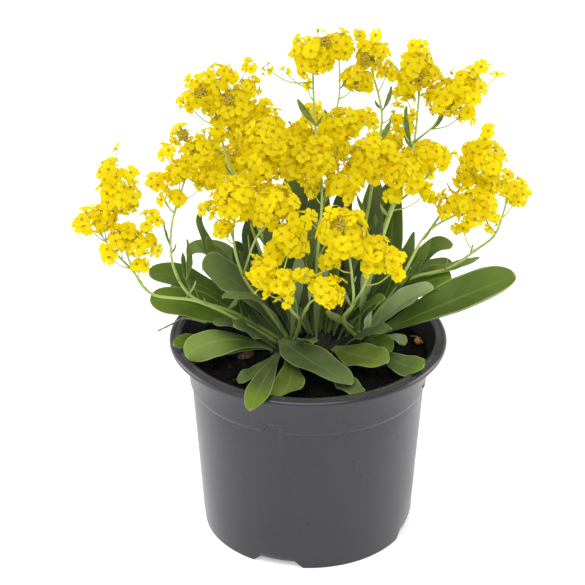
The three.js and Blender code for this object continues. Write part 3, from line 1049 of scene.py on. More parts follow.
@dataclass
class Soil:
    """The compost: a lumpy top, a plain body and loose crumbs and fibres.

    Sizes are in millimetres.
    """

    top: float = 87.0
    mound: float = 2.5
    edge_radius: float = 55.3
    foot_radius: float = 48.5
    foot: float = 5.2
    rings: int = 54
    columns: int = 150
    crumbs: int = 800
    fibres: int = 60
    bit_crumbs: float = 0.12
    bit_fibres: float = 0.6
    chip_at: Point = (-29.0, -7.0, 90.7)
    chip_size: Point = (8.0, 5.0, 2.0)
    prill_at: Point = (52.3, 9.0, 89.8)
    prill_radius: float = 1.9
    straws: tuple[tuple[Point, ...], ...] = (
        ((-70.4, 0.7, 99.6), (-64.1, 6.3, 100.2), (-58.6, 10.3, 101), (-47.6, 4.9, 101.5)),
        ((49, 14, 89.6), (52, 11.5, 90.6), (54.3, 6, 90.2)),
    )
    straw_radii: tuple[float, ...] = (0.42, 0.2)
    edge_room: float = 2.5
    small_share: float = 0.85
    small_sizes: tuple[float, float] = (0.35, 0.9)
    large_sizes: tuple[float, float] = (1.0, 1.9)
    fibre_lengths: tuple[float, float] = (2.5, 7.0)
    fibre_radii: tuple[float, float] = (0.08, 0.2)
    chip_rows: int = 10
    chip_columns: int = 18
    chip_torn: float = 0.22
    chip_turn: float = 25.0
    prill_detail: int = 4
    rng: Random = field(default_factory=lambda: Random(11))
    fine: Ball = field(default_factory=lambda: Ball.of(2))
    coarse: Ball = field(default_factory=lambda: Ball.of(1))

    def height(self, x: float, y: float) -> float:
        """Returns the height of the top at a point, in millimetres."""
        share = min(1.0, math.hypot(x, y) / self.edge_radius)
        lumps = noise.noise(Vector((x, y, 0)) * 0.11) * 1.3 + noise.noise(Vector((x, y, 3)) * 0.42) * 0.7
        return self.top + self.mound * (1 - share**2) + lumps * (1 - 0.6 * share) + 0.4

    def build(self) -> bpy.types.Object:
        """Builds the compost with its crumbs and fibres.

        Returns:
            The object.
        """
        skin = Skin()
        turn = np.linspace(0, math.tau, self.columns, endpoint=False)
        rows = []
        for ring in range(self.rings + 1):
            radius = self.edge_radius * ring / self.rings
            spots = [(radius * math.cos(t), radius * math.sin(t)) for t in turn]
            rows.append([(x, y, self.height(x, y)) for x, y in spots])
        foot = self.foot_radius
        rows.append([(foot * math.cos(t), foot * math.sin(t), self.foot) for t in turn])
        rows.append([(0.0, 0.0, self.foot)] * self.columns)
        points = np.array(rows).reshape(-1, 3) * MM
        skin.add(points, grid_faces(len(rows), self.columns, True)[:, ::-1])
        for _ in range(self.crumbs):
            self._add_crumb(skin)
        for _ in range(self.fibres):
            self._add_fibre(skin)
        finishes = [
            SoilFinish().material(),
            SoilFinish(srgb(32, 25, 20), srgb(62, 44, 31), srgb(40, 40, 26), "compost_bits", 0.3).material(),
        ]
        return skin.piece("compost_surface", finishes, False)

    def _spot(self) -> tuple[float, float]:
        """Returns a random place on the top."""
        radius = (self.edge_radius - self.edge_room) * math.sqrt(self.rng.random())
        turn = self.rng.uniform(0, math.tau)
        return radius * math.cos(turn), radius * math.sin(turn)

    def _crumb_size(self) -> float:
        """Returns a random crumb radius, mostly a small one."""
        sizes = self.small_sizes if self.rng.random() < self.small_share else self.large_sizes
        return self.rng.uniform(*sizes)

    def _add_crumb(self, skin: Skin) -> None:
        """Adds one crumb of peat."""
        x, y = self._spot()
        size = self._crumb_size()
        shape = self.coarse if size < 1 else self.fine
        ball = shape.points.copy()
        wobble = np.array([noise.noise(Vector(p) * 1.7 + Vector((x, y, size))) for p in ball])
        ball *= (1 + 0.55 * wobble)[:, None] * size
        ball *= np.array([self.rng.uniform(0.7, 1.3), self.rng.uniform(0.7, 1.3), self.rng.uniform(0.5, 0.9)])
        ball += np.array([x, y, self.height(x, y) + size * 0.25])
        skin.add(
            ball * MM, shape.faces, None,
            Coat.SECOND if self.rng.random() < self.bit_crumbs else Coat.FIRST,
        )

    def _add_fibre(self, skin: Skin) -> None:
        """Adds one peat fibre."""
        x, y = self._spot()
        turn, length = self.rng.uniform(0, math.tau), self.rng.uniform(*self.fibre_lengths)
        line = []
        for share in (-0.5, -0.2, 0.1, 0.5):
            px = x + math.cos(turn) * length * share + self.rng.uniform(-0.5, 0.5)
            py = y + math.sin(turn) * length * share + self.rng.uniform(-0.5, 0.5)
            keep = min(1.0, (self.edge_radius - 1.5) / max(1e-6, math.hypot(px, py)))
            line.append((px * keep, py * keep, self.height(px, py) + 0.35))
        path = smooth_line(line, 3)
        radii = np.full(len(path), self.rng.uniform(*self.fibre_radii) * MM)
        skin.add(*tube(path, radii, 5), Coat.SECOND if self.rng.random() < self.bit_fibres else Coat.FIRST)

    def _chip(self) -> bpy.types.Object:
        """Returns the bark chip: a split flake with torn ends."""
        skin = Skin()
        rows, columns = self.chip_rows, self.chip_columns
        turn = np.linspace(0, math.tau, columns, endpoint=False)
        rings = []
        for row in range(rows + 1):
            up = -1 + 2 * row / rows
            girth = math.sqrt(max(0.0, 1 - abs(up) ** 5))
            for t in turn:
                torn = 1 + self.chip_torn * noise.noise(Vector((math.cos(t) * 2.3, math.sin(t) * 2.3, up)))
                rings.append((
                    self.chip_size[0] / 2 * girth * torn * math.cos(t),
                    self.chip_size[1] / 2 * girth * torn * math.sin(t),
                    self.chip_size[2] / 2 * up + 0.25 * noise.noise(
                        Vector((math.cos(t) * 3, up * 2, math.sin(t) * 3))
                    ),
                ))
        spin = Matrix.Rotation(math.radians(self.chip_turn), 3, "Z")
        points = np.array([spin @ Vector(p) + Vector(self.chip_at) for p in rings]) * MM
        skin.add(points, grid_faces(rows + 1, columns, True))
        return skin.piece(
            "bark_flake", [BarkFinish("chip_bark", srgb(128, 92, 68), srgb(60, 40, 28)).material()], False,
        )

    def _straws(self) -> bpy.types.Object:
        """Returns the dried stalk over the left rim and the root by the bead."""
        skin = Skin()
        for knots, radius in zip(self.straws, self.straw_radii):
            path = smooth_line(knots, 8)
            radii = radius * MM * (1 + 0.18 * np.sin(np.arange(len(path)) * 1.7))
            skin.add(*tube(path, radii, 8))
        return skin.piece(
            "dried_stalks", [BarkFinish("straw", srgb(186, 176, 146), srgb(140, 128, 100)).material()],
            False,
        )

    def _prill(self) -> bpy.types.Object:
        """Returns the fertiliser bead: a slightly dented ball."""
        work = bmesh.new()
        bmesh.ops.create_icosphere(work, subdivisions=self.prill_detail, radius=self.prill_radius * MM)
        for vertex in work.verts:
            up = max(0.0, vertex.co.z / (self.prill_radius * MM))
            dent = noise.noise(vertex.co * 700) * 0.07 - 0.12 * up**6
            vertex.co *= 1 + dent
            vertex.co += Vector(self.prill_at) * MM
        for face in work.faces:
            face.smooth = True
        mesh = bpy.data.meshes.new("fertiliser_bead")
        work.to_mesh(mesh)
        work.free()
        mesh.materials.append(PrillFinish().material())
        made = bpy.data.objects.new("fertiliser_bead", mesh)
        bpy.context.scene.collection.objects.link(made)
        return made

    def dress(self) -> None:
        """Builds the compost, the chip and the bead and fixes them to the frame."""
        mount(self.build(), "soil", "soil")
        mount(self._straws(), "crown_bark")
        mount(self._chip(), "bark_chip", "bark_chip")
        mount(self._prill(), "prill", "fertiliser_prill")


# The crown


@dataclass
class Crown:
    """The woody crown: short branches from one root neck to three rosettes."""

    branches: tuple[tuple[Point, Point, float], ...] = (
        ((3, 2, 82), (-12, -3, 91), 6.8),
        ((3, 2, 82), (5, 5, 92), 6.8),
        ((3, 2, 82), (25, 0, 93), 6.2),
    )
    rings: int = 26
    sides: int = 36
    end_reach: tuple[float, float] = (0.45, 0.8)
    end_radii: tuple[float, float, float] = (0.98, 0.8, 0.45)

    def build(self) -> bpy.types.Object:
        """Builds the crown.

        Returns:
            The object.
        """
        skin = Skin()
        for start, end, radius in self.branches:
            line = np.linspace(np.array(start, dtype=float), np.array(end, dtype=float), self.rings)
            way = (line[-1] - line[0]) / np.linalg.norm(line[-1] - line[0])
            line = np.vstack([line, *(line[-1] + way * radius * reach for reach in self.end_reach)])
            radii = np.full(len(line), radius)
            radii[-3:] = radius * np.array(self.end_radii)
            points, faces, flat = tube(line * MM, radii * MM, self.sides)
            rough = [
                1 + 0.12 * noise.noise(Vector(p) * 260) + 0.07 * noise.noise(Vector(p) * 700) for p in points
            ]
            middle = np.repeat(np.vstack([line[:1], line, line[-1:]]), self.sides, 0) * MM
            points = middle + (points - middle) * np.array(rough)[:, None]
            skin.add(points, faces, flat)
        # The bark's colours are made darker than the bark is: painted shade for the deep shadow round the
        # leaf bases.
        return skin.piece(
            "woody_crown", [BarkFinish("crown_bark", srgb(46, 48, 28), srgb(13, 14, 9)).material()], False,
        )

    def dress(self) -> None:
        """Builds the crown and fixes it to the frame."""
        mount(self.build(), "crown_bark", "crown")


# Leaves


@dataclass
class Leaf:
    """One spoon-shaped leaf.

    Args:
        line: Where the stalk starts, the middle of the midrib and the tip, in millimetres.
        width: The widest width, in millimetres.
        roll: How far the blade is rolled about its midrib, in degrees.
        tone: Its colours.
        node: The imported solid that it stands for, if there is one.
        ruffle: How far the margin waves, in millimetres.
        curl: How far one margin is rolled up, from -1 to 1.
        narrow: Whether it is lance-shaped.
    """

    WAVES = 17
    WAVE_SHIFT = 2.1
    CURL_POWER = 8
    CURL_PULL = 0.45
    RIB_WIDTH = 0.55
    RIB_DEPTH = 0.22

    line: tuple[Point, Point, Point]
    width: float
    roll: float = 0.0
    tone: Tone = Tone.MID
    node: str = ""
    ruffle: float = 0.7
    curl: float = 0.0
    narrow: bool = False
    rows: int = 42
    columns: int = 16
    thickness: float = 0.7
    stalk: float = 0.2
    widest: float = 0.66
    tip_start: float = 0.74
    fold: float = 0.15

    def _half_width(self, share: np.ndarray) -> np.ndarray:
        """Returns half of the width along the leaf."""
        widest, tip_start = (0.45, 0.5) if self.narrow else (self.widest, self.tip_start)
        body = self.stalk + (1 - self.stalk) * smoothstep(0, widest, share)
        tip = np.clip((share - tip_start) / (1 - tip_start), 0, 1)
        power = 1.5 if self.narrow else 2.0
        return self.width / 2 * body * np.sqrt(np.clip(1 - tip**power, 0, 1))

    def add_to(self, skin: Skin, slot: int = 0) -> None:
        """Adds the leaf to a skin.

        Args:
            skin: The skin.
            slot: The number of its finish.
        """
        foot, middle, tip = (np.array(p, dtype=float) for p in self.line)
        bend = 2 * middle - (foot + tip) / 2
        share = 0.5 - 0.5 * np.cos(np.linspace(0, math.pi, self.rows))
        near, between, far = (1 - share) ** 2, 2 * share * (1 - share), share**2
        place = near[:, None] * foot + between[:, None] * bend + far[:, None] * tip
        along = 2 * (1 - share)[:, None] * (bend - foot) + 2 * share[:, None] * (tip - bend)
        along /= np.linalg.norm(along, axis=1)[:, None]
        inward = np.array([-tip[0], -tip[1], 0])
        facing = inward / max(1e-6, np.linalg.norm(inward)) + np.array([0, 0, 1])
        side = np.cross(along, facing)
        side /= np.linalg.norm(side, axis=1)[:, None]
        spin = math.radians(self.roll)
        side = side * math.cos(spin) - np.cross(along, side) * math.sin(spin)
        upper = np.cross(side, along)
        half = self._half_width(share)
        across = -np.cos(np.linspace(0, math.pi, self.columns))
        grid_along, grid_across = np.meshgrid(share, across, indexing="ij")
        reach = grid_across * half[:, None]
        phase = sum(foot) + sum(tip)
        wave = np.sin(grid_along * self.WAVES + phase + (grid_across > 0) * self.WAVE_SHIFT)
        wave = wave * self.ruffle * np.abs(grid_across) ** 2
        wave *= smoothstep(0.25, 0.6, grid_along)
        lift = self.fold * half[:, None] * np.abs(grid_across) ** 1.5 + wave
        curled = np.clip(grid_across * np.sign(self.curl), 0, 1) ** self.CURL_POWER
        curled = curled * abs(self.curl) * half[:, None]
        lift = lift + curled
        reach = reach - curled * np.sign(self.curl) * self.CURL_PULL
        rib = np.exp(-((grid_across * half[:, None] / self.RIB_WIDTH) ** 2)) * self.RIB_DEPTH
        body = self.thickness / 2 * np.sqrt(np.clip(1 - grid_across**2, 0, 1)) * (1 - 0.5 * grid_along)
        for over in (True, False):
            height = lift + (body - rib if over else -body - rib * 0.6)
            points = place[:, None] + reach[..., None] * side[:, None] + height[..., None] * upper[:, None]
            faces = grid_faces(self.rows, self.columns)
            sheet = 0.005 + 0.49 * (grid_across + 1) / 2 + (0 if over else 0.5)
            flat = Region.BLADE.spread(grid_along, sheet)
            skin.add(points.reshape(-1, 3) * MM, faces if over else faces[:, ::-1], flat, slot)


LEAVES: tuple[Leaf, ...] = (
    Leaf(
        ((-13, -4, 97.5), (0, -26, 99), (19, -47, 98)), 21, -12, Tone.GREY, "leaf_front_dark", 0.5,
        widest=0.46, tip_start=0.6,
    ),
    Leaf(((12, -2, 92), (22, -20, 98), (36, -32, 101)), 17, -12, Tone.FRONT, "leaf_front_right"),
    Leaf(
        ((-13, -8, 93), (-20, -48, 101), (-26, -70, 98)), 11, 0, Tone.TONGUE, "leaf_rim_tongue", 0.5,
        widest=0.7, tip_start=0.66,
    ),
    Leaf(((-11, -8, 93), (-8, -36, 95), (-15, -55, 95.5)), 14, 0, Tone.FRONT, "leaf_rim_broad", 0.5),
    Leaf(((28, -3, 95), (43, -26, 96.5), (52, -38, 102)), 12, -14, Tone.LIT_TIP, "leaf_right_rim", 0.4),
    Leaf(
        ((-16, -5, 93), (-38, -14, 103), (-56, -28, 102)), 14, 30, Tone.BRIGHT, "leaf_left_bright", 0.5,
        fold=-0.3,
    ),
    Leaf(((-12, -1, 97), (-31, -6, 126), (-48, -14, 139)), 22, 22, Tone.GREY, "leaf_left_round", 0.8),
    Leaf(((29, 1, 96), (62, 5, 110.5), (97, 9, 124.5)), 22, -26, Tone.MID, "leaf_right_long", 0.3, 0.3),
    Leaf(((-16, -2, 94), (-46, -4, 113), (-73, -8, 120)), 16, 30, Tone.FRESH, "leaf_left_dark", 0.7),
    Leaf(((-15, 0, 95), (-47, 8, 118), (-74, 4, 128)), 14, 18, Tone.MID, "leaf_left_upper"),
    Leaf(((27, 3, 97), (49, 16, 113), (68, 20, 118)), 16, -14, Tone.FRESH, "leaf_right_mid"),
    Leaf(
        ((28, -1, 98), (43, 0, 114), (58, 0, 123)), 12, -20, Tone.PALE, "leaf_right_pale", 0.5, fold=0.4,
        widest=0.5, tip_start=0.5,
    ),
    Leaf(((-10, -4, 96), (-21, -18, 124), (-39, -28, 132)), 8, 10, Tone.GREY, "leaf_left_narrow", 0.5),
    Leaf(((-15, -6, 94), (-25, -14, 106), (-34, -22, 115)), 11, 15, Tone.GREY, "leaf_left_short"),
    Leaf(((-17, -4, 93), (-35, -11, 97.5), (-53, -17, 99.5)), 9, 25, Tone.FRESH, "leaf_left_low"),
    Leaf(((-14, -7, 92), (-24, -28, 94), (-32, -38, 94)), 8.5, 0, Tone.GREY, "leaf_soil_small"),
    Leaf(((26, 3, 97), (50, 24, 123), (69, 34, 129)), 12, -5, Tone.FRESH, "leaf_right_upper"),
    Leaf(((-13, 1, 95), (-42, 14, 127), (-51, 18, 152)), 9, 0, Tone.MID, "leaf_left_erect"),
    Leaf(((3, 8, 97), (-4, 24, 140), (-8, 32, 167)), 12.5, 0, Tone.GREY, "leaf_back_round", 0.4),
    Leaf(((-10, 2, 93), (-34, 36, 116), (-58, 50, 118)), 16, -10, Tone.MID, "leaf_rear_left"),
    Leaf(((4, 9, 95), (2, 44, 112), (-6, 70, 108)), 16, 0, Tone.GREY, "leaf_rear_middle"),
    Leaf(((18, 4, 93), (34, 38, 114), (46, 60, 112)), 15, 10, Tone.MID, "leaf_rear_right"),
)

FILLER_LEAVES: tuple[Leaf, ...] = (
    Leaf(((10, -12, 92), (16, -38, 94.5), (23, -53, 95.5)), 11, 0, Tone.GREY),
    Leaf(((-18, -6, 94), (-45, -7, 98), (-62, -16, 101)), 9, 10, Tone.FRESH),
    Leaf(((32, -3, 98), (41, -8, 101), (45, -12, 99)), 5, 0, Tone.PALE, "", 0.3),
    Leaf(((27, -4, 97), (33, -12, 101), (38, -20, 100)), 9, 0, Tone.MID),
    Leaf(((23, -6, 103), (28, -9, 106), (29, -8, 115)), 6, 0, Tone.PALE, "", 0.5, 0.8),
    Leaf(((25, 4, 96), (38, 15, 128), (38, 32, 162)), 16, 0, Tone.MID, "", 0.6, fold=0.35),
    Leaf(((18, 5, 97), (30, 15, 131), (31, 34, 166)), 9, 0, Tone.GREY),
    Leaf(((6, 6, 98), (14, 22, 138), (20, 28, 160)), 9, 0, Tone.GREY),
    Leaf(((1, 4, 97), (-2, 5, 126), (5, 14, 151)), 7, 0, Tone.GREY),
    Leaf(((2, 5, 97), (3, 8, 124), (10, 15, 148)), 7, 0, Tone.MID),
    Leaf(((-8, -3, 97), (-6, -7, 122), (-4, -14, 146)), 6, 0, Tone.GREY, "", 0.3),
    Leaf(((4, -1, 97), (5, -7, 122), (9, -16, 146)), 6, 0, Tone.GREY, "", 0.3),
    Leaf(((23, -4, 98), (25, -9, 119), (25, -14, 139)), 4, 0, Tone.MID, "", 0.2),
    Leaf(((14, -3, 97), (22, -7, 112), (35, -10, 123)), 10, -8, Tone.MID),
    Leaf(((27, 4, 96), (41, 14, 117), (50, 24, 140)), 9, 0, Tone.FRESH),
    Leaf(((27, 4, 96), (43, 14, 116), (58, 28, 134)), 10, 0, Tone.FRESH),
    Leaf(((27, 3, 96), (37, 9, 115), (52, 16, 128)), 8, -10, Tone.MID),
    Leaf(((-12, 1, 96), (-23, 3, 117), (-32, 8, 138)), 9, 10, Tone.GREY),
    Leaf(((-14, 1, 96), (-35, 4, 118), (-47, 10, 144)), 8, 10, Tone.MID),
    Leaf(((-13, -1, 96), (-29, -1, 113), (-29, 4, 134)), 8, 0, Tone.GREY),
    Leaf(((8, 3, 97), (10, 1, 121), (15, 8, 143)), 9, 0, Tone.MID),
    Leaf(((12, 3, 97), (18, 4, 121), (22, 12, 144)), 9, 0, Tone.GREY),
    Leaf(((5, 4, 97), (5, 3, 121), (1, 10, 144)), 9, 0, Tone.MID),
    Leaf(((-16, -5, 95), (-25, -11, 102), (-30, -16, 111)), 8, 0, Tone.MID),
    Leaf(((-4, 4, 97), (-10, 18, 124), (-18, 26, 146)), 10, 0, Tone.SHADE),
    Leaf(((-10, 2, 97), (-26, 12, 118), (-34, 18, 138)), 11, 10, Tone.SHADE),
    Leaf(((8, 5, 97), (12, 12, 120), (12, 22, 140)), 12, 0, Tone.SHADE),
    Leaf(((16, 5, 97), (24, 14, 118), (30, 24, 138)), 12, 0, Tone.SHADE),
    Leaf(((0, 5, 97), (-4, 12, 118), (-6, 22, 136)), 12, 0, Tone.SHADE),
    Leaf(((-8, 3, 97), (-14, 8, 112), (-22, 16, 126)), 12, 0, Tone.SHADE),
    Leaf(((22, 4, 97), (30, 10, 112), (40, 18, 126)), 12, 0, Tone.SHADE),
    Leaf(((4, 4, 97), (6, 6, 112), (6, 12, 128)), 12, 0, Tone.SHADE),
    Leaf(((4, 6, 97), (4, 14, 132), (6, 24, 164)), 12, 0, Tone.SHADE),
    Leaf(((-10, 2, 97), (-24, 10, 124), (-28, 16, 152)), 12, 0, Tone.SHADE),
    Leaf(((-6, 4, 97), (-14, 12, 126), (-17, 22, 150)), 12, 0, Tone.GREY),
    Leaf(((12, 6, 97), (14, 16, 128), (15, 28, 158)), 10, 0, Tone.SHADE),
    Leaf(((2, 0, 98), (-4, -4, 112), (-10, -8, 124)), 8, 0, Tone.GREY),
    Leaf(((12, 0, 98), (17, -4, 110), (24, -10, 120)), 8, -8, Tone.MID),
    Leaf(((22, 4, 97), (36, 8, 116), (48, 10, 128)), 10, -10, Tone.MID),
    Leaf(((-14, 3, 95), (-36, 22, 120), (-54, 34, 130)), 12, -6, Tone.MID),
    Leaf(((10, 8, 96), (20, 38, 126), (26, 52, 132)), 12, 0, Tone.MID),
    Leaf(((-4, 8, 96), (-16, 36, 126), (-26, 50, 132)), 12, 0, Tone.FRESH),
    Leaf(((22, 6, 95), (48, 34, 110), (70, 44, 112)), 13, 6, Tone.MID),
    Leaf(((-16, 2, 94), (-44, 20, 108), (-66, 26, 108)), 13, -6, Tone.GREY),
    Leaf(((-6, -8, 94), (-2, -20, 106), (2, -34, 112)), 8, 0, Tone.GREY),
    Leaf(((18, -4, 95), (26, -14, 106), (38, -20, 112)), 9, -8, Tone.GREY),
    Leaf(((-2, -6, 94), (6, -22, 98), (10, -34, 97)), 7, 0, Tone.MID),
    Leaf(((-14, -4, 95), (-28, -8, 106), (-44, -10, 110)), 9, 12, Tone.GREY),
)


@dataclass
class Foliage:
    """All the leaves of the rosettes."""

    def dress(self) -> None:
        """Builds every leaf and fixes it to the frame."""
        finishes = {tone: LeafFinish(tone).material() for tone in Tone}
        for leaf in LEAVES:
            skin = Skin()
            leaf.add_to(skin)
            slot = "leaf_pale" if "bright" in leaf.node or "pale" in leaf.node else "leaf"
            mount(skin.piece(f"{leaf.node}_blade", [finishes[leaf.tone]]), slot, leaf.node)
        for tone in Tone:
            kept = [leaf for leaf in FILLER_LEAVES if leaf.tone is tone]
            if kept:
                skin = Skin()
                for leaf in kept:
                    replace(leaf, rows=26, columns=10).add_to(skin)
                mount(skin.piece(f"inner_leaves_{tone.name.lower()}", [finishes[tone]]), "leaf")


# Stems


@dataclass
class Stem:
    """A flowering stem: its main line, its side branches and its clasping leaves.

    Args:
        node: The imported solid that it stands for.
        lines: The main line first, then the branches, in millimetres.
        leaves: Each clasping leaf's foot, tip and width, in millimetres.
    """

    node: str
    lines: tuple[tuple[Point, ...], ...]
    leaves: tuple[tuple[Point, Point, float], ...] = ()
    main_radius: float = 0.98
    branch_radius: float = 0.66
    taper: float = 0.48
    steps: int = 8
    sides: int = 9
    flare: float = 0.35
    flare_steps: float = 3.0
    first_leaf: tuple[float, float] = (12.0, 22.0)
    leaf_every: float = 16.0
    leaf_gaps: tuple[float, float] = (0.7, 1.4)
    leaf_lengths: tuple[float, float] = (6.0, 11.0)
    leaf_widths: tuple[float, float] = (0.2, 0.28)
    leaf_turn: float = 137.5
    bare_from: float = 0.86

    def paths(self) -> list[np.ndarray]:
        """Returns the smooth lines of the stem and its branches, in metres."""
        return [smooth_line(line, self.steps) for line in self.lines]

    def build(
        self, skin_finish: bpy.types.Material, leaf_finish: bpy.types.Material, rng: Random,
    ) -> bpy.types.Object:
        """Builds the stem.

        Args:
            skin_finish: The stalk's material.
            leaf_finish: The leaves' material.
            rng: Where chance comes from.

        Returns:
            The object.
        """
        skin = Skin()
        for i, path in enumerate(self.paths()):
            radius = self.main_radius if i == 0 else self.branch_radius
            radii = radius * MM * (1 - (1 - self.taper) * np.linspace(0, 1, len(path)) ** 0.8)
            if i == 0:
                radii *= 1 + self.flare * np.exp(-np.arange(len(path)) / self.flare_steps)
            skin.add(*tube(path, radii, self.sides))
            self._add_small_leaves(skin, path, rng)
        for foot, tip, width in self.leaves:
            middle = tuple(0.5 * (a + b) for a, b in zip(foot, tip))
            middle = (middle[0] + math.copysign(1.0, tip[0] - foot[0]), middle[1], middle[2])
            Leaf(
                (foot, middle, tip), width, 0, ruffle=0.2, narrow=True, rows=22, columns=9,
            ).add_to(skin, Coat.SECOND)
        return skin.piece(f"{self.node}_stalk", [skin_finish, leaf_finish])

    def _add_small_leaves(self, skin: Skin, path: np.ndarray, rng: Random) -> None:
        """Adds small leaves up one line, each on another side.

        Args:
            skin: The skin.
            path: The line.
            rng: Where chance comes from.
        """
        spans = np.linalg.norm(np.diff(path, axis=0), axis=1)
        length = float(spans.sum()) / MM
        reach = np.concatenate([[0], np.cumsum(spans)]) / MM
        turn = rng.uniform(0, math.tau)
        place = rng.uniform(*self.first_leaf)
        while place < length * self.bare_from:
            i = int(np.searchsorted(reach, place))
            spot = path[min(i, len(path) - 1)] / MM
            turn += math.radians(self.leaf_turn)
            out = np.array([math.cos(turn), math.sin(turn), 0.0])
            long = rng.uniform(*self.leaf_lengths) * (1.1 - 0.4 * place / length)
            middle = spot + out * long * 0.38 + np.array([0, 0, long * 0.45])
            tip = spot + out * long * 0.62 + np.array([0, 0, long * 0.95])
            width = long * rng.uniform(*self.leaf_widths)
            leaf = Leaf(
                (tuple(spot), tuple(middle), tuple(tip)), width, 0, ruffle=0.1, narrow=True, rows=12,
                columns=7,
            )
            leaf.add_to(skin, Coat.SECOND)
            place += self.leaf_every * rng.uniform(*self.leaf_gaps)


STEMS: tuple[Stem, ...] = (
    Stem("stem_front_left", (
        ((-7, -3, 95), (-4, -14, 112), (-8, -32, 128), (-15, -50, 151)),
        ((-4, -14, 112), (0, -36, 133), (6, -57, 149)),
    )),
    Stem("stem_front_right", (
        ((24, -3, 97), (16, -12, 112), (20, -26, 128), (19, -38, 148), (17, -44, 165)),
        ((20, -26, 128), (24, -38, 142), (28, -47, 160)),
    ), (((21, -8, 106), (8, -16, 119), 5),)),
    Stem("stem_left", (
        ((-13, -1, 96), (-35, -4, 112), (-54, -7, 122), (-62, -8, 139), (-62, -5, 158), (-56, -2, 178)),
    ), (
        ((-62, -7, 146), (-66, -4, 160), 4),
        ((-54, -6, 124), (-58, 2, 140), 6),
        ((-56, -6, 130), (-56, 6, 145), 5),
    )),
    Stem("stem_far_left", (
        ((-15, -4, 96), (-32, -10, 111), (-51, -16, 124), (-71, -24, 132), (-78, -30, 146), (-82, -31, 160)),
        ((-78, -30, 146), (-88, -28, 157), (-95, -28, 168)),
    ), (((-70, -24, 131), (-76, -26, 141), 3),)),
    Stem("stem_centre_left", (
        ((-9, -1, 96), (-21, -4, 116), (-30, -8, 133), (-34, -16, 158), (-32, -20, 172)),
        ((-30, -8, 133), (-24, -20, 157), (-18, -26, 170)),
    )),
    Stem("stem_upper_left", (
        ((1, 5, 96), (-19, 12, 127), (-32, 20, 163), (-40, 24, 187), (-43, 24, 204)),
        ((-32, 20, 163), (-22, 12, 180), (-18, 6, 188)),
    )),
    Stem("stem_centre", (
        ((3, 3, 97), (4, 3, 135), (6, 2, 162), (6, 0, 178)),
        ((4, 3, 135), (17, 4, 163), (25, 4, 177)),
        ((6, 2, 162), (12, 12, 182), (14, 15, 192)),
    )),
    Stem("stem_top_left", (
        ((4, 7, 97), (7, 20, 138), (5, 30, 174), (3, 34, 192), (2, 36, 217)),
        ((5, 30, 174), (14, 36, 202), (14, 38, 221)),
    ), (((4, 33, 190), (-5, 34, 203), 3.4),)),
    Stem("stem_top_middle", (
        ((8, 7, 97), (25, 20, 138), (32, 30, 179), (34, 34, 195), (29, 36, 217)),
    ), (
        ((18, 15, 120), (31, 36, 164), 7),
        ((32, 31, 182), (38, 28, 195), 4.5),
        ((34, 34, 197), (38, 32, 210), 3.5),
    )),
    Stem("stem_top_right", (
        ((19, 3, 95), (34, 18, 141), (46, 28, 172), (49, 30, 183), (51, 32, 209)),
        ((49, 30, 183), (58, 29, 192), (62, 28, 200)),
    ), (
        ((48, 29, 181), (45, 28, 202), 4.5),
        ((57, 29, 190), (62, 24, 200), 4),
    )),
    Stem("stem_right_centre", (
        ((22, 1, 98), (31, 4, 134), (39, 0, 165), (43, -2, 176)),
        ((39, 0, 165), (52, 2, 176), (57, 4, 182)),
    ), (((21, 0, 104), (35, -10, 123), 10),)),
    Stem("stem_right", (
        ((26, 2, 98), (44, 8, 125), (56, 12, 146), (73, 14, 156)),
        ((56, 12, 146), (68, 18, 162), (77, 21, 173)),
    )),
    Stem("stem_far_right", (
        (
            (27, 1, 97), (45, 13, 119), (67, 22, 122), (79, 26, 129), (88, 28, 136), (92, 30, 147),
            (94, 30, 158),
        ),
    ), (((56, 18, 120), (82, 31, 123), 9),)),
    Stem("stem_rear_left", (
        ((2, 7, 96), (-18, 28, 127), (-34, 46, 158)),
        ((-18, 28, 127), (-8, 44, 147), (1, 55, 167)),
    )),
    Stem("stem_rear_right", (
        ((9, 7, 95), (27, 32, 132), (45, 50, 164)),
    )),
)


@dataclass
class Stalks:
    """All the flowering stems, and a map of where they run."""

    rng: Random = field(default_factory=lambda: Random(23))

    def dress(self) -> None:
        """Builds every stem and fixes it to the frame."""
        skin_finish = StemFinish().material()
        leaf_finish = LeafFinish(Tone.STEM).material()
        for stem in STEMS:
            mount(stem.build(skin_finish, leaf_finish, self.rng), "stem", stem.node)

    @staticmethod
    def nearest(spot: np.ndarray) -> np.ndarray:
        """Returns the stem point that a flower stalk at a spot would leave from.

        Args:
            spot: The spot, in metres.

        Returns:
            A point on a stem, rather below the spot than beside it.
        """
        runs = np.vstack([path for stem in STEMS for path in stem.paths()])
        away = runs - spot
        above = np.maximum(0, away[:, 2] + 6 * MM)
        return runs[np.argmin(np.linalg.norm(away, axis=1) + 3 * above)]


# Flowers


class Part(IntEnum):
    """The finishes of a flower cluster, in the order of its material slots."""

    PETAL = 0
    BUD = 1
    STALK = 2


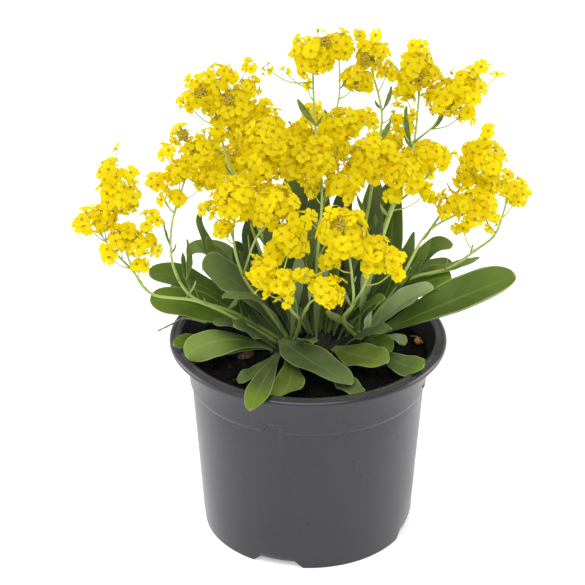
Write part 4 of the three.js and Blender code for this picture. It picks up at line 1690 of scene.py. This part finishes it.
@dataclass(frozen=True)
class Flower:
    """One open flower: four notched petals in a cross, stamens and a small cup.

    Sizes are in millimetres.
    """

    STRIPS = 16

    petal_length: float = 3.7
    petal_width: float = 4.1
    claw_width: float = 0.9
    notch: float = 0.5
    cup_radius: float = 0.75
    cup_depth: float = 1.7
    rows: int = 5
    columns: int = 6
    stamens: int = 4

    def add_to(
        self, skin: Skin, base: np.ndarray, turn: np.ndarray, scale: float, openness: float, rng: Random,
    ) -> None:
        """Adds the flower to a skin.

        Args:
            skin: The skin.
            base: The place of its middle, in metres.
            turn: The rotation that takes +Z to where it faces.
            scale: Its size.
            openness: 1 when flat open, less when still cupped.
            rng: Where chance comes from.
        """
        strip = rng.randrange(self.STRIPS)
        for petal in range(4):
            points, flat = self._petal(petal, openness, strip, rng)
            skin.add(
                points * scale * MM @ turn.T + base, grid_faces(self.rows, self.columns), flat, Part.PETAL,
            )
        for points, faces, flat in self._middle(strip, rng):
            skin.add(points * scale * MM @ turn.T + base, faces, flat, Part.PETAL)
        cup, faces, flat = self._cup()
        skin.add(cup * scale * MM @ turn.T + base, faces, flat, Part.STALK)

    def _petal(self, number: int, openness: float, strip: int, rng: Random) -> tuple[np.ndarray, np.ndarray]:
        """Returns one petal's points and flat coordinates.

        Args:
            number: Which of the four it is.
            openness: 1 when flat open.
            strip: Its row of the colour strip.
            rng: Where chance comes from.

        Returns:
            The points, in millimetres, and the flat coordinates.
        """
        out, across = np.meshgrid(
            np.linspace(0, 1, self.rows), np.linspace(-1, 1, self.columns), indexing="ij",
        )
        length = self.petal_length * rng.uniform(0.92, 1.06)
        spread = smoothstep(0.05, 0.66, out) * (self.petal_width - self.claw_width) + self.claw_width
        round_off = np.sqrt(np.clip(1 - (np.clip(out - 0.62, 0, 1) / 0.6) ** 2, 0.05, 1))
        half = spread / 2 * round_off
        dent = self.notch * np.exp(-((across / 0.28) ** 2)) * smoothstep(0.6, 1.0, out)
        corner = 0.55 * np.abs(across) ** 4 * smoothstep(0.5, 1.0, out)
        radial = 0.1 + out * length - dent - corner
        width = across * half
        tilt = math.radians(72 * (1 - openness) + rng.uniform(-9, 9))
        cupping = 0.35 * across**2 * smoothstep(0.2, 0.8, out) * rng.uniform(0.2, 1.2)
        arch = 0.2 * np.sin(out * math.pi) - 0.6 * out**2 * rng.uniform(-0.3, 1.5)
        ripple = 0.12 * np.sin(across * 5 + rng.uniform(0, 6)) * out
        height = arch + cupping + ripple
        x = radial * math.cos(tilt) - height * math.sin(tilt)
        z = radial * math.sin(tilt) + height * math.cos(tilt) - 0.2
        twist = math.tau * number / 4 + rng.uniform(-0.12, 0.12)
        points = np.stack([
            x * math.cos(twist) - width * math.sin(twist),
            x * math.sin(twist) + width * math.cos(twist),
            z,
        ], axis=-1).reshape(-1, 3)
        return points, Region.BLADE.spread(0.1 + 0.9 * out, (strip + 0.5 + 0.4 * across) / self.STRIPS)

    def _middle(self, strip: int, rng: Random) -> list[tuple[np.ndarray, np.ndarray, np.ndarray]]:
        """Returns the stamens and the pistil.

        Args:
            strip: Their row of the colour strip.
            rng: Where chance comes from.

        Returns:
            The points, faces and flat coordinates of each.
        """
        made = []
        eight = np.array([[1, 0, 0], [0, 1, 0], [-1, 0, 0], [0, -1, 0], [0, 0, 1], [0, 0, -1]], dtype=float)
        faces = np.array(
            [[0, 1, 4], [1, 2, 4], [2, 3, 4], [3, 0, 4], [1, 0, 5], [2, 1, 5], [3, 2, 5], [0, 3, 5]]
        )
        along = np.array([0.01, 0.03, 0.05, 0.03, 0.08, 0.02])
        over = np.array([0.2, 0.4, 0.6, 0.8, 0.5, 0.5])
        flat = Region.BLADE.spread(along, (strip + over) / self.STRIPS)
        for i in range(self.stamens):
            turn = math.tau * (i + 0.5) / self.stamens + rng.uniform(-0.2, 0.2)
            at = np.array([0.55 * math.cos(turn), 0.55 * math.sin(turn), 0.35 + rng.uniform(-0.1, 0.15)])
            made.append((eight * np.array([0.24, 0.24, 0.3]) + at, faces, flat))
        made.append((eight * np.array([0.3, 0.3, 0.5]) + np.array([0, 0, 0.1]), faces, flat))
        return made

    def _cup(self) -> tuple[np.ndarray, np.ndarray, np.ndarray]:
        """Returns the small cup of sepals under the petals."""
        sides = 5
        turn = np.linspace(0, math.tau, sides, endpoint=False)
        radii, heights = (0.18, self.cup_radius, self.cup_radius * 0.9), (-self.cup_depth, -0.7, 0.1)
        rings = [
            np.stack([r * np.cos(turn), r * np.sin(turn), np.full(sides, z)], axis=1)
            for r, z in zip(radii, heights)
        ]
        along, around = np.meshgrid(np.linspace(0, 1, len(rings)), np.linspace(0, 1, sides), indexing="ij")
        return np.vstack(rings), grid_faces(len(rings), sides, True), Region.STALK.spread(along, around)


@dataclass(frozen=True)
class Bunch:
    """A ball of flowers on one hub.

    Args:
        at: Its middle, in millimetres.
        radius: How far out its flowers stand, in millimetres.
        young: Whether its flowers are still small and half closed.
    """

    at: Point
    radius: float
    young: bool = False


@dataclass(frozen=True)
class Bloom:
    """One flower or bud of a cluster.

    Args:
        bunch: Its bunch.
        out: The way from the bunch's middle.
        place: Its place, in millimetres.
        bud: Whether it is a closed bud.
    """

    bunch: Bunch
    out: np.ndarray
    place: np.ndarray
    bud: bool = False


@dataclass
class Cluster:
    """One crowded flower cluster.

    Sizes are in millimetres.

    Args:
        node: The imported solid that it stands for.
        bunches: Its bunches.
        buds: The middles of its knots of closed buds.
    """

    node: str
    bunches: tuple[Bunch, ...]
    buds: tuple[Point, ...] = ()
    spacing: float = 3.9
    inmost: float = 0.6
    outmost: float = 1.02
    stray: float = 0.14
    tuck: float = 1.15
    lowest: float = -0.7
    tries: float = 110.0
    knot: int = 15
    knot_radius: float = 2.5
    knot_room: float = 4.0
    young_spacing: float = 0.72
    half_closed: float = 0.12
    cupped: tuple[float, float] = (0.45, 0.8)
    opened: tuple[float, float] = (0.82, 1.0)
    young_sizes: tuple[float, float] = (0.58, 0.75)
    full_sizes: tuple[float, float] = (0.88, 1.06)
    bud_shape: Point = (0.8, 0.8, 1.0)
    bud_sizes: tuple[float, float] = (0.75, 1.15)
    hub_depth: float = 0.45
    hub_bow: float = 0.12
    hub_radii: tuple[float, float] = (0.38, 0.25)
    stalk_bow: float = 0.15
    stalk_radius: float = 0.16
    stalk_points: int = 4
    flower: Flower = field(default_factory=Flower)

    def _facing(self, out: np.ndarray, rng: Random) -> np.ndarray:
        """Returns the rotation of a flower that looks along a direction, a little upward and at random."""
        way = out + np.array([0, -0.1, 0.25]) + np.array([rng.gauss(0, 0.3) for _ in range(3)])
        quick = Vector(way).normalized().to_track_quat("Z", "Y")
        spin = Quaternion((0, 0, 1), rng.uniform(0, math.tau))
        return np.array((quick @ spin).to_matrix())

    def _knots(self) -> list[Bloom]:
        """Returns the closed buds, each knot a small dome on the nearest bunch."""
        made = []
        for middle in (np.array(b, dtype=float) for b in self.buds):
            bunch = min(self.bunches, key=lambda b: np.linalg.norm(middle - np.array(b.at)) - b.radius)
            out = middle - np.array(bunch.at, dtype=float)
            out /= np.linalg.norm(out)
            side = np.cross(out, [1.0, 0, 0])
            side /= np.linalg.norm(side)
            other = np.cross(out, side)
            for i in range(self.knot):
                reach, turn = self.knot_radius * math.sqrt((i + 0.3) / self.knot), i * 2.4
                shift = reach * (math.cos(turn) * side + math.sin(turn) * other)
                place = middle + shift - out * reach**2 * 0.16
                way = out + shift * 0.2
                made.append(Bloom(bunch, way / np.linalg.norm(way), place, True))
        return made

    def _flowers(self, rng: Random) -> list[Bloom]:
        """Spreads open flowers over the bunches, clear of the buds and of one another."""
        middles = np.array([b.at for b in self.bunches], dtype=float)
        radii = np.array([b.radius for b in self.bunches])
        knots = np.array(self.buds, dtype=float).reshape(-1, 3)
        taken = np.empty((0, 3))
        made = []
        for i, bunch in enumerate(self.bunches):
            others = np.arange(len(self.bunches)) != i
            gap = self.spacing * (self.young_spacing if bunch.young else 1.0)
            for _ in range(int(self.tries * bunch.radius)):
                out = np.array([rng.gauss(0, 1) for _ in range(3)])
                out /= np.linalg.norm(out)
                reach = rng.uniform(self.inmost, self.outmost) + max(0.0, rng.gauss(-0.5, 1)) * self.stray
                place = middles[i] + out * max(0.3 * bunch.radius, bunch.radius * reach - self.tuck)
                if out[2] < self.lowest:
                    continue
                if np.any(np.linalg.norm(middles[others] - place, axis=1) < radii[others] * self.inmost):
                    continue
                if np.any(np.linalg.norm(taken - place, axis=1) < gap):
                    continue
                if np.any(np.linalg.norm(knots - place, axis=1) < self.knot_room):
                    continue
                taken = np.vstack([taken, place])
                made.append(Bloom(bunch, out, place))
        return made

    def _hub(self, skin: Skin, bunch: Bunch) -> np.ndarray:
        """Adds the stalk that carries a bunch and returns where its flower stalks start, in metres."""
        centre = np.array(bunch.at, dtype=float) * MM
        root = Stalks.nearest(centre - np.array([0, 0, bunch.radius * 0.8 * MM]))
        way = centre - root
        way = way / max(1e-9, np.linalg.norm(way)) + np.array([0, 0, 0.8])
        hub = centre - way / np.linalg.norm(way) * bunch.radius * self.hub_depth * MM
        bow = (root + hub) / 2 - np.array([0, 0, self.hub_bow * np.linalg.norm(hub - root)])
        path = smooth_line([root / MM, bow / MM, hub / MM], 5)
        skin.add(*tube(path, np.linspace(*self.hub_radii, len(path)) * MM, 6), Part.STALK)
        return hub

    def build(self, finishes: Sequence[bpy.types.Material], ball: Ball, rng: Random) -> bpy.types.Object:
        """Builds the cluster.

        Args:
            finishes: The petals', the buds' and the stalks' materials.
            ball: The shape of a bud.
            rng: Where chance comes from.

        Returns:
            The object.
        """
        skin = Skin()
        hubs = {bunch: self._hub(skin, bunch) for bunch in self.bunches}
        for bloom in (*self._knots(), *self._flowers(rng)):
            place = bloom.place * MM
            turn = self._facing(bloom.out, rng)
            if bloom.bud:
                size = np.array(self.bud_shape) * rng.uniform(*self.bud_sizes)
                skin.add(
                    (ball.points * size * MM) @ turn.T + place, ball.faces, ball.flat(Region.BUD),
                    Part.BUD,
                )
                foot = place - turn[:, 2] * 0.9 * MM
            else:
                half_closed = bloom.bunch.young or rng.random() < self.half_closed
                openness = rng.uniform(*(self.cupped if half_closed else self.opened))
                scale = rng.uniform(*(self.young_sizes if bloom.bunch.young else self.full_sizes))
                self.flower.add_to(skin, place, turn, scale, openness, rng)
                foot = place - turn[:, 2] * self.flower.cup_depth * scale * MM
            self._add_pedicel(skin, hubs[bloom.bunch], foot, turn[:, 2])
        return skin.piece(f"{self.node}_cluster", finishes)

    def _add_pedicel(self, skin: Skin, hub: np.ndarray, foot: np.ndarray, facing: np.ndarray) -> None:
        """Adds the thin stalk from the hub to one flower.

        Args:
            skin: The skin.
            hub: Where it starts.
            foot: The flower's foot.
            facing: The way that the flower looks.
        """
        bend = (hub + foot) / 2 - facing * np.linalg.norm(foot - hub) * self.stalk_bow
        share = np.linspace(0, 1, self.stalk_points)[:, None]
        path = (1 - share) ** 2 * hub + 2 * share * (1 - share) * bend + share**2 * foot
        skin.add(*tube(path, np.full(self.stalk_points, self.stalk_radius * MM), 3), Part.STALK)


CLUSTERS: tuple[Cluster, ...] = (
    Cluster("flowers_far_left", (
        Bunch((-84, -22, 179), 9), Bunch((-88, -22, 192), 6), Bunch((-91, -26, 171), 7),
        Bunch((-98.3, -28, 170), 6), Bunch((-83, -32, 164), 8), Bunch((-73, -34, 161), 7),
        Bunch((-79, -22, 191), 4), Bunch((-84, -22, 202), 3), Bunch((-70, -34, 174), 5),
        Bunch((-75, -34, 151), 4), Bunch((-89, -32, 156), 4),
    )),
    Cluster("flowers_left", (
        Bunch((-58, -2, 183), 7), Bunch((-49, 2, 191), 9),
        Bunch((-68, -6, 180), 5.5), Bunch((-46, -2, 179), 7),
        Bunch((-58, 2, 198), 5), Bunch((-64, -2, 191), 4), Bunch((-65, -6, 172), 4), Bunch((-59, -2, 169), 4),
    ), ((-50.5, -3, 192.5), (-55.4, 0, 199.5))),
    Cluster("flowers_upper_left", (
        Bunch((-46, 24, 210), 10), Bunch((-33, 22, 202), 10), Bunch((-39, 26, 218), 6),
        Bunch((-55, 24, 205), 5, True), Bunch((-27, 26, 212), 5.5, True), Bunch((-27, 26, 222), 4, True),
        Bunch((-19, 26, 221), 3, True), Bunch((-39, 22, 195), 6), Bunch((-21, 22, 203), 4),
    ), ((-35.9, 15, 210.7), (-48.1, 16, 213.2), (-30.4, 20, 189.4))),
    Cluster("flowers_centre_left", (
        Bunch((-21, 4, 195), 11), Bunch((-10, 2, 187), 10), Bunch((-23, -8, 185), 8),
    )),
    Cluster("flowers_front_upper", (
        Bunch((-32, -22, 178), 11), Bunch((-16, -26, 176), 11), Bunch((-8, -36, 165), 8),
        Bunch((-44, -22, 173), 5), Bunch((-38, -22, 163), 5),
        Bunch((-14, -36, 158), 5), Bunch((-1, -34, 175), 4),
    )),
    Cluster("flowers_front_left", (
        Bunch((-21, -50, 156), 7), Bunch((-11, -54, 152), 6), Bunch((-20, -50, 148), 4),
        Bunch((-11, -54, 144), 3.5), Bunch((-3, -54, 157), 3.5),
    )),
    Cluster("flowers_front_small", (
        Bunch((7, -60, 153), 7), Bunch((10, -59, 149), 5.5),
    )),
    Cluster("flowers_front_right", (
        Bunch((15, -46, 173), 11), Bunch((27, -48, 167), 7), Bunch((36, -46, 161), 5.5),
        Bunch((9, -46, 183), 4), Bunch((10, -46, 160), 4.5),
        Bunch((27, -48, 158), 4.5), Bunch((37, -46, 155), 4.5),
    ), ((13.9, -54, 180.8),)),
    Cluster("flowers_centre", (
        Bunch((4, 0, 186), 11), Bunch((16, -4, 177), 8), Bunch((27, 4, 185), 11), Bunch((15, 15, 198), 9),
        Bunch((2, 0, 173), 4), Bunch((22, 15, 203), 4),
    )),
    Cluster("flowers_right_centre", (
        Bunch((43, -2, 182), 9), Bunch((57, 4, 187), 7.5), Bunch((39, -2, 171), 4), Bunch((54, -2, 173), 4),
        Bunch((64, 4, 189), 3),
    )),
    Cluster("flowers_top_left", (
        Bunch((2, 36, 224), 9.9), Bunch((14, 38, 227), 8), Bunch((23, 38, 233), 3.5),
        Bunch((-1, 36, 210), 3), Bunch((-11, 36, 216), 2.5, True),
    ), ((8.3, 31, 232.9),)),
    Cluster("flowers_top_middle", (
        Bunch((29, 36, 223), 8), Bunch((23, 34, 213), 7), Bunch((31, 36, 233), 3), Bunch((36, 36, 216), 5),
    ), ((25.6, 30, 225.1),)),
    Cluster("flowers_top_right", (
        Bunch((50, 32, 217), 10), Bunch((44, 30, 208), 6), Bunch((62, 28, 206), 9), Bunch((71, 28, 211), 9),
        Bunch((49, 32, 230), 4), Bunch((79, 28, 221), 4),
        Bunch((86, 28, 217), 2.5), Bunch((47, 30, 197), 3.5),
        Bunch((40, 30, 199), 3), Bunch((72, 28, 199), 4.5),
    ), ((50.4, 24, 218.7),)),
    Cluster("flowers_right", (
        Bunch((80, 22, 179), 10), Bunch((84, 21, 167), 7), Bunch((79, 16, 157), 10), Bunch((67, 11, 160), 7),
        Bunch((57, 11, 164), 3.5), Bunch((73, 22, 169), 5), Bunch((72, 16, 145), 4), Bunch((86, 16, 146), 3),
        Bunch((83, 22, 192), 4),
    )),
    Cluster("flowers_far_right", (
        Bunch((93, 30, 161), 5.5), Bunch((98.3, 32, 155), 6),
    )),
    Cluster("flowers_rear_left", (
        Bunch((-40, 46, 163), 10), Bunch((-27, 52, 168), 10),
        Bunch((-18, 46, 186), 6), Bunch((-34, 44, 182), 6),
    )),
    Cluster("flowers_rear_middle", (
        Bunch((-4, 56, 172), 10), Bunch((11, 58, 172), 10), Bunch((2, 52, 188), 6),
    )),
    Cluster("flowers_rear_right", (
        Bunch((37, 54, 169), 10), Bunch((53, 48, 167), 9), Bunch((44, 48, 184), 6), Bunch((28, 50, 186), 6),
    )),
)


@dataclass
class Blossom:
    """All the flower clusters."""

    seed: int = 71

    def dress(self) -> None:
        """Builds every cluster and fixes it to the frame."""
        finishes = [
            PetalFinish().material(),
            BudFinish().material(),
            StemFinish("flower_stalk", srgb(186, 200, 92), srgb(150, 168, 66)).material(),
        ]
        ball = Ball.of(2)
        for i, cluster in enumerate(CLUSTERS):
            mount(cluster.build(finishes, ball, Random(self.seed + i)), "petal", cluster.node)


# The studio


@dataclass(frozen=True)
class Lamp:
    """One soft square lamp that points at the plant.

    Args:
        name: Its name.
        at: Its place.
        size: Its side.
        power: Its power in watts.
    """

    name: str
    at: Point
    size: float
    power: float


@dataclass
class Studio:
    """A pale floor, soft light and the camera of the photograph.

    Lengths are in metres and angles in degrees.
    """

    tilt: float = 27.4
    distance: float = 1.0
    aim_x: float = -0.0073
    aim_z: float = 0.1202
    lens: float = 132.6
    sensor: float = 36.0
    floor_size: float = 12.0
    sky: float = 0.6
    lit: Point = (0.0, 0.0, 0.13)
    lamps: tuple[Lamp, ...] = (
        Lamp("key_lamp", (-0.8, -0.9, 1.5), 0.9, 8.5),
        Lamp("front_lamp", (0.1, -1.3, 1.6), 1.5, 20.0),
        Lamp("back_lamp", (0.0, 1.0, 1.5), 1.2, 7.0),
        Lamp("left_lamp", (-1.3, 0.35, 0.35), 0.8, 9.0),
        Lamp("right_lamp", (1.3, 0.3, 0.4), 0.8, 9.0),
    )

    def _camera(self) -> None:
        """Sets up the camera."""
        data = bpy.data.cameras.new("viewpoint")
        data.lens = self.lens
        data.sensor_width = self.sensor
        made = bpy.data.objects.new("viewpoint", data)
        down = math.radians(self.tilt)
        made.location = (
            self.aim_x, -self.distance * math.cos(down), self.aim_z + self.distance * math.sin(down),
        )
        made.rotation_euler = (math.pi / 2 - down, 0, 0)
        bpy.context.scene.collection.objects.link(made)
        bpy.context.scene.camera = made

    def _light(self, lamp: Lamp) -> None:
        """Adds one lamp."""
        data = bpy.data.lights.new(lamp.name, "AREA")
        data.size = lamp.size
        data.energy = lamp.power
        made = bpy.data.objects.new(lamp.name, data)
        made.location = lamp.at
        made.rotation_euler = (Vector(self.lit) - Vector(lamp.at)).to_track_quat("-Z", "Y").to_euler()
        bpy.context.scene.collection.objects.link(made)

    def _floor(self) -> None:
        """Lays the floor."""
        skin = Skin()
        half = self.floor_size / 2
        corners = np.array([[-half, -half, 0], [half, -half, 0], [half, half, 0], [-half, half, 0]])
        skin.add(corners, np.array([[0, 1, 2, 3]]))
        skin.piece("studio_floor", [FloorFinish().material()], False)

    def build(self) -> None:
        """Builds the studio."""
        self._camera()
        self._floor()
        world = bpy.data.worlds.new("studio_sky")
        world.use_nodes = True
        world.node_tree.nodes["Background"].inputs["Color"].default_value = (1, 1, 1, 1)
        world.node_tree.nodes["Background"].inputs["Strength"].default_value = self.sky
        bpy.context.scene.world = world
        bpy.context.scene.view_settings.view_transform = "Standard"
        for lamp in self.lamps:
            self._light(lamp)


def main() -> None:
    """Builds the studio, the pot and the plant, and reports each piece."""
    logging.basicConfig(level=logging.INFO, format="%(name)s %(message)s")
    Studio().build()
    builders: Sequence[Callable[[], None]] = (
        Pot().dress,
        Soil().dress,
        Crown().dress,
        Foliage().dress,
        Stalks().dress,
        Blossom().dress,
    )
    for build in builders:
        build()


if __name__ == "__main__":
    main()
